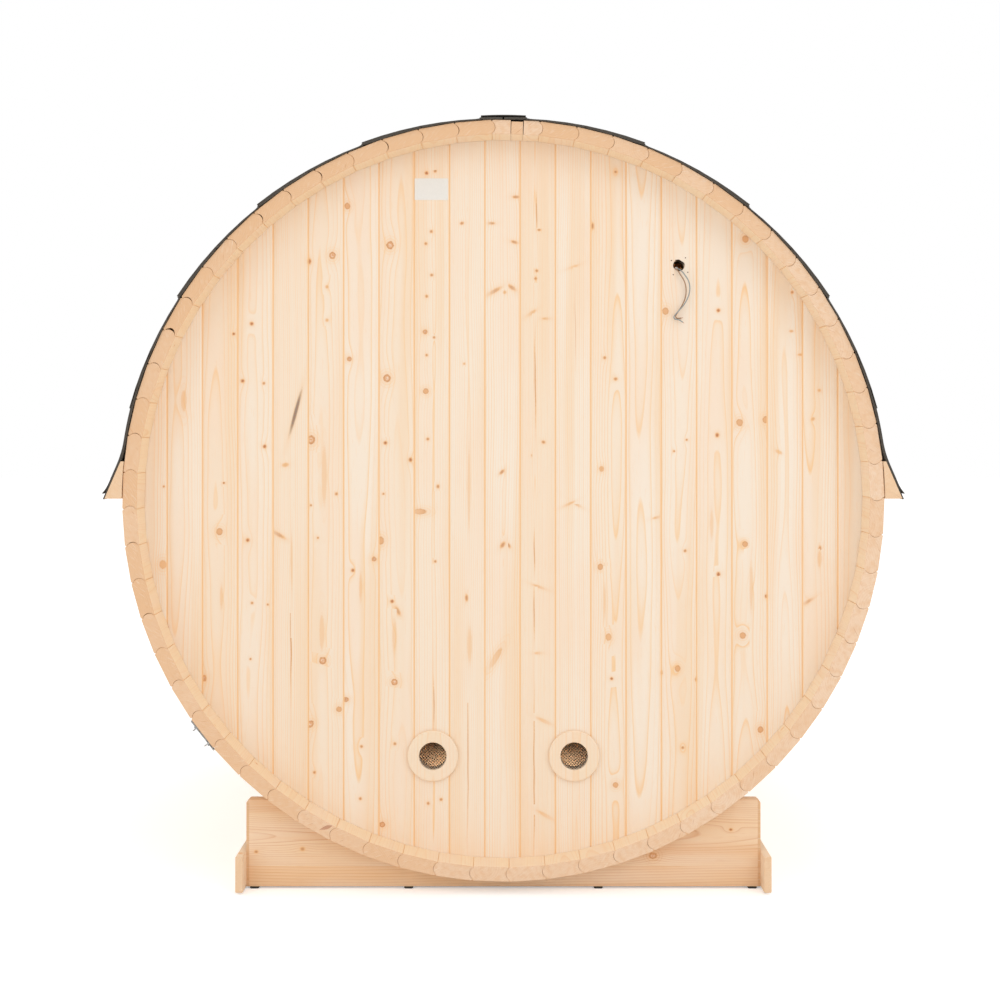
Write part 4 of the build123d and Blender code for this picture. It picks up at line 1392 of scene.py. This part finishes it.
def addBands():
    angle, opening, half = bandLook["tensioner"], bandLook["opening"], bandLook["wide"] / 2
    inner, outer = bandLook["inner"], bandLook["outer"]
    boltCentre = sqrt(outer ** 2 - (opening - bandLook["lugThick"]) ** 2) + bandLook["boltRise"]
    gap = asin(opening / outer)
    around = (angle + np.linspace(gap, tau - gap, bandLook["rows"]))[:, None]
    for sign, side in ((-1, "rear"), (1, "front")):
        middle = sign * bandLook["place"]
        radius, y = softRectangle(inner, outer, middle - half, middle + half, bandLook["ease"]).T
        x, z = onBarrel(around, radius)
        nodePiece(f"{side}_tension_band", loft(stacked(x, y, z)), zincSteel)

        def onTensioner(offset, outwards, sideways):
            x, z = onBarrel(angle, boltCentre + outwards, offset)
            return x, middle + sideways, z

        bolt = moved(joined([threadedRod(), hexNut(1), hexNut(-1)]), onTensioner)
        nodePiece(f"{side}_band_bolt", bolt, zincSteel)
        dress(f"{side}_band_lugs", zincSteel)


addBands()
print("bands made")


# Roof: rows of bitumen shingles with six-sided tabs, a lapped ridge, the eaves over wedge battens
roofLook = {
    "radius": 0.952593,
    "half": 1.004,
    "sheet": 0.0022,
    "lapRise": 0.0064,  # of a row's top, from its head to its lower edge
    "lapRoom": 0.0001,
    "endDrop": 0.0011,  # the roof's ends lie closer to the staves, past the bands
    "endReach": (0.918, 0.955),
    "capAngle": radians(3.398),
    "courseAngle": radians(18.177),
    "lapAngle": radians(3.188),
    "ridgeGap": 0.004,
    "tabs": 6,
    "notch": 0.1485,  # depth of the cut between tabs
    "tabFoot": 0.25,  # half width of a tab's foot, in tabs
    "tabRoot": 0.465,
    "tabBetween": (0.1, 0.36),  # more columns across half a tab
    "columnRoom": 0.002,
    "rowShares": (0, 0.17, 0.33, 0.485, 0.5, 0.67, 0.83, 1),
    "curl": 0.0006,
    "rowSeed": 700,
    "capPieces": 14,
    "capSheet": 0.0016,
    "capLift": 0.0058,
    "capLap": 1.6,  # length of a piece, in steps
    "capPlay": 0.0012,
    "capGrid": (5, 9),
    "capSeed": 790,
    "eavesSheet": 0.0026,
    "eavesRoom": 0.0001,
    "eavesRows": 36,
    "eavesSeeds": (780, 781),
    "eavesTrim": 0.012,  # how much shorter the upper sheet is, how far and over what length it curls
    "eavesCurl": 0.0050,
    "curlReach": 0.028,
    "battenFoot": (0.042, 0.005),  # out from the roof's circle, up from the axis
    "battenHead": (0.0015, 0.098),
    "battenRoom": 0.0003,
    "battenInner": 0.9518,  # radius of its hollow side, just off the staves
    "battenEase": 0.0007,
    "batten": {"rows": 33, "ease": 0.0006, "tone": 0.3, "knots": 9.0, "knotReach": 0.02, "seed": 650},
    "overhang": 0.002,
    "bend": 0.250,
    "grainScale": 620.0,
    "dark": (0.040, 0.035, 0.029, 1),
    "light": (0.185, 0.163, 0.134, 1),
    "bright": (0.300, 0.255, 0.200, 1),
    "cloud": (0.062, 0.052, 0.042, 1),
    "tab": (0.175, 0.153, 0.125, 1),
    # dark cut bitumen and painted shade along the sheets' edges
    "edge": (0.050, 0.041, 0.032, 1),
}
roofLook["tabPitch"] = 2 * roofLook["half"] / roofLook["tabs"]


def shingleFinish():
    # crushed stone pressed into bitumen: grains of several tones, darker in clouds, and darker along the
    # edges, where both dark cut bitumen and painted shade along a tab's lower edge are drawn
    finish, wire = newFinish("bitumenShingle")
    place = wire.node("TexCoord", None, None, out="Object")
    tab, edge = wire.carried("tabTone"), wire.carried("tabEdge")
    sockets = {"Vector": place, "Scale": roofLook["grainScale"]}
    grains = wire.node("TexVoronoi", {"feature": "F1"}, sockets, out="Color")
    speckle, warmth, bare = grains.parts()
    cloud = wire.noise(place, 9.0, 4.0)
    shade = wire.mix(speckle, roofLook["dark"], roofLook["light"])
    shade = wire.mix(warmth.fade(0.82, 0.98) * 0.8, shade, roofLook["bright"])
    shade = wire.mix(cloud.fade(0.35, 0.75) * 0.4, shade, roofLook["cloud"])
    shade = wire.mix(tab * 0.45, shade, roofLook["tab"])
    # painted shade and dark cut bitumen along each sheet's lower edge and ends
    shade = wire.mix(wire.maths("POWER", edge, 45) * 0.75, shade, roofLook["edge"])
    closeFinish(wire, shade, bare * 0.12 + 0.80, 1 - grains.of("Distance"), relief=0.0009, strength=0.7)
    return finish


def tabEdge(y, shift):
    # how far the lower edge is cut back along a row: nothing on a tab's foot, a slope, the full notch
    foot, root = roofLook["tabFoot"], roofLook["tabRoot"]
    place = (y + roofLook["half"]) / roofLook["tabPitch"] - shift
    cut = np.clip((np.abs(place - np.round(place)) - foot) / (root - foot), 0, 1)
    return cut * roofLook["notch"], np.round(place).astype(int)


def tabColumns(shift):
    # every place along a row where the lower edge turns, and some between
    foot, root, half = roofLook["tabFoot"], roofLook["tabRoot"], roofLook["half"]
    near, far = roofLook["tabBetween"]
    turns = np.array([-0.5, -root, -far, -foot, -near, near, foot, far, root])
    tabs = np.arange(-1, roofLook["tabs"] + 2)[:, None]
    places = (tabs + shift + turns).ravel() * roofLook["tabPitch"] - half
    inside = places[np.abs(places) < half - roofLook["columnRoom"]]
    return np.concatenate([[-half], inside, [half]])


def shingle(top, under, tone, edge):
    # a sheet whose two faces carry its tone, and 1 along its edges
    shape, size = slab(top, under), top.shape[:2]
    shape["POINT"] = {
        "tabTone": np.tile(np.broadcast_to(tone, size).ravel(), 2),
        "tabEdge": np.tile(np.broadcast_to(edge, size).ravel(), 2),
    }
    return shape


def shingleRow(number, side):
    # angle runs down the row from head to cut edge; it rises off the roof as it laps the two rows below
    step, sheet = roofLook["courseAngle"] / 2, roofLook["sheet"]
    shift = 0.0 if number % 2 == 0 else 0.5
    y = tabColumns(shift)
    cut, tab = tabEdge(y, shift)
    foot = roofLook["capAngle"] + number * step
    lower = foot - cut / roofLook["radius"]
    head = max(foot - 2 * step, roofLook["ridgeGap"] / 2 / roofLook["radius"])
    share = np.array(roofLook["rowShares"])[:, None]
    angle = head + share * (lower - head)
    steps = (angle - foot) / step + 2  # 0 at the head, 2 at the lower edge
    half = roofLook["lapRise"] / 2
    top = steps * half + sheet
    # the upper half lies on the boards, the lower half on the next row
    under = np.where(steps > 0.999, (steps - 1) * half + sheet + roofLook["lapRoom"], 0 * steps)
    start, end = roofLook["endReach"]
    drop = roofLook["endDrop"] * np.clip((np.abs(y) - start) / (end - start), 0, 1)
    rng = np.random.default_rng(roofLook["rowSeed"] + 10 * number + (side > 0))
    curl = rng.uniform(0, roofLook["curl"], roofLook["tabs"] + 4)[tab + 1] * share ** 3
    tone = rng.uniform(0, 1, roofLook["tabs"] + 4)[tab + 1]
    grids = []
    for rise in (top, under):
        x, z = onBarrel(angle * side, roofLook["radius"] + rise - drop + curl * (cut < 0.01))
        grids.append(stacked(x, y, z))
    return shingle(*grids, tone, np.maximum(share, np.abs(y) == roofLook["half"]))


def ridgeCap():
    # short pieces bent over the ridge, each lapping the one before
    pieces, sheet = roofLook["capPieces"], roofLook["capSheet"]
    step = 2 * roofLook["half"] / pieces
    rows, columns = roofLook["capGrid"]
    rng = np.random.default_rng(roofLook["capSeed"])
    shapes = []
    for number in range(pieces):
        start = -roofLook["half"] + number * step
        end = min(start + roofLook["capLap"] * step, roofLook["half"])
        y = np.linspace(start, end, rows)[:, None]
        angle = np.linspace(-1, 1, columns) * (roofLook["capAngle"] - rng.uniform(0, roofLook["capPlay"]))
        rise = roofLook["capLift"] + (1 - np.clip((y - start) / step, 0, 1)) * sheet
        grids = []
        for lift in (sheet, 0):
            x, z = onBarrel(angle, roofLook["radius"] + rise + lift)
            grids.append(stacked(x, y, z))
        shapes.append(shingle(*grids, rng.uniform(0, 1), np.abs(2 * (end - y) / (end - start) - 1)))
    return joined(shapes)


def eavesLine():
    # underside of the lowest sheet: round the barrel, a hollow bend, straight down over the batten
    radius, bend = roofLook["radius"], roofLook["bend"]
    foot = np.array([radius + roofLook["battenFoot"][0], roofLook["battenFoot"][1]])
    head = np.array([radius + roofLook["battenHead"][0], roofLook["battenHead"][1]])
    down = (foot - head) / np.linalg.norm(foot - head)
    out = np.array([-down[1], down[0]])
    slope = out @ foot + roofLook["battenRoom"]
    footAlong = down @ foot + roofLook["overhang"]
    centreAlong = sqrt((radius + bend) ** 2 - (slope + bend) ** 2)
    slopeAngle = acos(out[1])
    touch = slopeAngle + asin(centreAlong / (radius + bend))
    centre = down * centreAlong + out * (slope + bend)
    start = roofLook["capAngle"] + 3.5 * roofLook["courseAngle"]  # level with the cuts of the lowest row
    onRoof = np.linspace(start, touch, 13)
    inBend = np.linspace(touch, slopeAngle, 11)[1:]
    straight = np.linspace(centreAlong, footAlong, 5)[1:]
    roofWay = stacked(np.sin(onRoof), np.cos(onRoof))
    bendWay = stacked(np.sin(inBend), np.cos(inBend))
    line = np.concatenate([roofWay * radius, centre - bend * bendWay, straight[:, None] * down + out * slope])
    normal = np.concatenate([roofWay, bendWay, np.tile(out, (len(straight), 1))])
    length = np.concatenate([[0], np.cumsum(np.linalg.norm(np.diff(line, axis=0), axis=1))])
    return line, normal, length


def eavesSheet(side, base, notched, seed):
    # the eaves line carried along the roof; the upper of its two sheets ends in tabs that curl up
    line, normal, length = eavesLine()
    y = tabColumns(0.0)
    cut, tab = tabEdge(y, 0.0)
    first, last = 0.0, length[-1]
    if notched:
        first = roofLook["radius"] * (roofLook["courseAngle"] / 2 - roofLook["lapAngle"])
        last -= roofLook["eavesTrim"]
    share = np.linspace(0, 1, roofLook["eavesRows"])[:, None]
    along = first + share * (last - cut * notched - first)
    curl = notched * roofLook["eavesCurl"] * np.clip(1 - (last - along) / roofLook["curlReach"], 0, 1) ** 2
    rng = np.random.default_rng(seed)
    tone = rng.uniform(0, 1, roofLook["tabs"] + 4)[tab + 1]
    grids = []
    for lift in (base + roofLook["eavesSheet"] + curl, base + curl):
        x = np.interp(along, length, line[:, 0]) + lift * np.interp(along, length, normal[:, 0])
        z = np.interp(along, length, line[:, 1]) + lift * np.interp(along, length, normal[:, 1])
        grids.append(stacked(side * x, y, barrel["axis"] + z))
    return shingle(*grids, tone, np.maximum(share, np.abs(y) == roofLook["half"]))


def addRoof():
    finish = shingleFinish()
    for course in range(1, 5):
        rows = [shingleRow(number, side) for side in (1, -1) for number in (2 * course - 1, 2 * course)]
        nodePiece(f"roof_course_{course}", joined(rows), finish)
    nodePiece("ridge_cap", ridgeCap(), finish)
    lower, upper = roofLook["eavesSeeds"]
    base = roofLook["eavesSheet"] + roofLook["eavesRoom"]
    for side, word in ((-1, "left"), (1, "right")):
        sheets = [eavesSheet(side, 0, False, lower), eavesSheet(side, base, True, upper)]
        makePiece(f"{word}Eaves", joined(sheets), finish, [f"eaves_strip_{word}"])


def addBattens():
    radius, half, ease = roofLook["radius"], roofLook["half"], roofLook["battenEase"]
    footOut, footUp = roofLook["battenFoot"]
    headOut, headUp = roofLook["battenHead"]
    inner = roofLook["battenInner"]
    hollow = np.linspace(asin(headUp / inner), asin(footUp / inner), 5)
    slope = [(radius + footOut, footUp), (radius + headOut, headUp)]
    corners = np.concatenate([slope, stacked(inner * np.cos(hollow), inner * np.sin(hollow))])
    forward = np.roll(corners, -1, axis=0) - corners
    forward /= np.linalg.norm(forward, axis=1, keepdims=True)
    before, after = corners - ease * np.roll(forward, 1, axis=0), corners + ease * forward
    wedge = np.stack([before, after], axis=1).reshape(-1, 2)
    battens = []
    for number, side in enumerate((-1, 1)):
        battens.append(beam(wedge, -half, half, lambda a, d, l: (side * a, l, barrel["axis"] + d), number,
                            roofLook["batten"]))
    nodePiece("eaves_battens", joined(battens), railPine)


addRoof()
addBattens()
print("roof laid")


# Vents, cable hole and plate on the rear wall
ventLook = {
    "ring": 0.065,
    "thick": 0.010,
    "ease": 0.0035,
    "lip": 0.0015,
    "shadowGap": 0.0016,  # a small rebate where the ring meets the wall
    "sides": 72,
    "lean": 0.02,
    "logs": [(0.005, -0.06, 0.31), (0.005, -0.04, 0.51)],
    "tone": 0.1,
    "meshPitch": 0.0056,
    "meshWire": 0.00048,
    "meshShift": 0.25,
    "meshSides": 4,
    "meshRoom": 0.0004,  # into the bore's wall
    "meshDepth": 0.0015,
    "meshColour": (0.075, 0.042, 0.026, 1),
}
fittings = {
    "pilots": [(428, 608), (464, 615), (470, 578), (433, 572)],  # mm from the axis
    "pilotRadius": 0.0016,
    # painted shade: the dark colour standing in for the inside of a pilot hole
    "pilotShadeColour": (0.22, 0.12, 0.07, 1),
    "plateAt": (-0.184, 0.790),
    "plateSize": (0.085, 0.055),
    "plateThick": 0.0005,
    "plateCorner": 0.0015,
    "plateColour": (0.85, 0.82, 0.765, 1),
    "resinAt": (-0.443, -0.8155),
    "resinLong": 0.034,
    "resinWide": 0.013,
    "resinTurn": radians(17),
    "resinLayers": [(1, -0.0012), (1, 0.0), (0.9, 0.0002)],  # size, and out from the stave's end
    "resinColour": (0.680, 0.350, 0.205, 1),
}


def onRearWall(shape, x, up, sunk=0.0):
    # a shape drawn flat, put on the wall's face: metres from the axis
    wall, axis = -barrel["wallOut"], barrel["axis"]
    return moved(shape, lambda px, py, h: (px + x, wall - (h - sunk), axis + (py + up)))


def addVents():
    inner, outer, thick = wallLook["ventBore"], ventLook["ring"], ventLook["thick"]
    ease, lip, shadow = ventLook["ease"], ventLook["lip"], ventLook["shadowGap"]
    turn = np.linspace(0, pi / 2, 5)
    rim = stacked(outer - ease + ease * np.cos(turn), thick - ease + ease * np.sin(turn))
    mouth = stacked(inner + lip - lip * np.sin(turn), thick - lip + lip * np.cos(turn))
    face = stacked(np.linspace(outer - ease, inner + lip, 6)[1:-1], thick)
    foot = [(inner, 0.0), (outer - shadow, 0.0), (outer - shadow, shadow / 2), (outer, shadow)]
    ring = ringTurned([*foot, *rim, *face, *mouth], ventLook["sides"])
    points, quads = ring["points"], np.array(ring["faces"])
    px, py, height = points.T
    grain = stacked(px, height + ventLook["lean"] * py, py)
    mesh, rings, meshes = wovenDisc(), [], []
    for (x, up), log in zip(wallLook["vents"], ventLook["logs"]):
        wood = timber(points, grain, quads, [], [], log, ventLook["tone"])
        rings.append(onRearWall(wood, x, up))
        meshes.append(onRearWall(mesh, x, up, ventLook["meshDepth"]))
    nodePiece("vent_rings", joined(rings), ringBirch)
    screen = plasticFinish("screenWire", ventLook["meshColour"], 0.75)
    makePiece("ventMesh", joined(meshes), screen)


def wovenDisc():
    # wires both ways at 45 degrees, waving over and under each other: height is a cosine along a wire
    pitch, wire, shift = ventLook["meshPitch"], ventLook["meshWire"], ventLook["meshShift"]
    radius = wallLook["ventBore"] + ventLook["meshRoom"]
    count, sides = int(radius / pitch), ventLook["meshSides"]
    around = np.arange(sides) * tau / sides
    wires = []
    for way in (1, -1):
        for number in range(-count, count + 1):
            middle = (number + shift) * pitch
            reach = sqrt(max(radius ** 2 - middle ** 2, 0.0))
            along = np.linspace(-reach, reach, max(4, int(reach / pitch * 6)))[:, None]
            wave = way * wire * np.cos(pi * (along / pitch - shift) + pi * number)
            aside = middle + wire * np.cos(around)
            x, y = (along - way * aside) / sqrt(2), (way * along + aside) / sqrt(2)
            wires.append(loft(stacked(x, y, wave + wire * np.sin(around))))
    return joined(wires)


def addFittings():
    hole = fittings["pilotRadius"]
    # the pilot holes are not bored: near-flat dark discs on the wall's face, their colour painted shade of a
    # hole
    dot = turned([(hole, 0.0), (hole * 0.95, 0.00015), (hole * 0.7, 0.0001), (hole * 0.1, 0.00005)], 14)
    dots = [onRearWall(dot, x / 1000, up / 1000) for x, up in fittings["pilots"]]
    shade = plasticFinish("paintedPilotShade", fittings["pilotShadeColour"], 0.7)
    makePiece("pilotHoles", joined(dots), shade)

    wide, tall = fittings["plateSize"]
    thick = fittings["plateThick"]
    outline = softRectangle(-wide / 2, wide / 2, -tall / 2, tall / 2, fittings["plateCorner"], 4)
    sheet = sheetOf(outline, [(0, 0.0), (0, thick * 0.6), (thick * 0.4, thick)])
    plate = onRearWall(sheet, *fittings["plateAt"])
    film = plasticFinish("plateFilm", fittings["plateColour"], 0.4, 0.94)
    makePiece("blankPlate", plate, film)


def addResin():
    # a pocket of resin on one stave's end: a leaf whose width is a sine along it, fuller towards one tip
    share = np.linspace(0, 1, 13)
    across = (share - 0.5) * fittings["resinLong"]
    bulge = np.sin(pi * share) * (0.35 + 0.65 * share) * fittings["resinWide"] / 2
    leaf = np.concatenate([stacked(across, -bulge), stacked(across, bulge)[-2:0:-1]])
    layers = [stacked(*leaf.T * size, depth) for size, depth in fittings["resinLayers"]]
    turnCos, turnSin = cos(fittings["resinTurn"]), sin(fittings["resinTurn"])
    x, up = fittings["resinAt"]

    def place(px, py, h):
        right, rise = px * turnCos - py * turnSin, px * turnSin + py * turnCos
        return x + right, -barrel["length"] / 2 - h, barrel["axis"] + up + rise

    finish = plasticFinish("resinAmber", fittings["resinColour"], 0.4)
    makePiece("resinPocket", moved(loft(np.array(layers)), place), finish)


ringLook = {
    **woodLooks["wall"],
    "pale": (0.895, 0.725, 0.540, 1), "warm": (0.885, 0.675, 0.470, 1), "contrast": 0.8,
}
ringBirch = woodFinish("ringBirch", ringLook)
addVents()
addFittings()
addResin()
print("vents and fittings made")

print("pieces done")
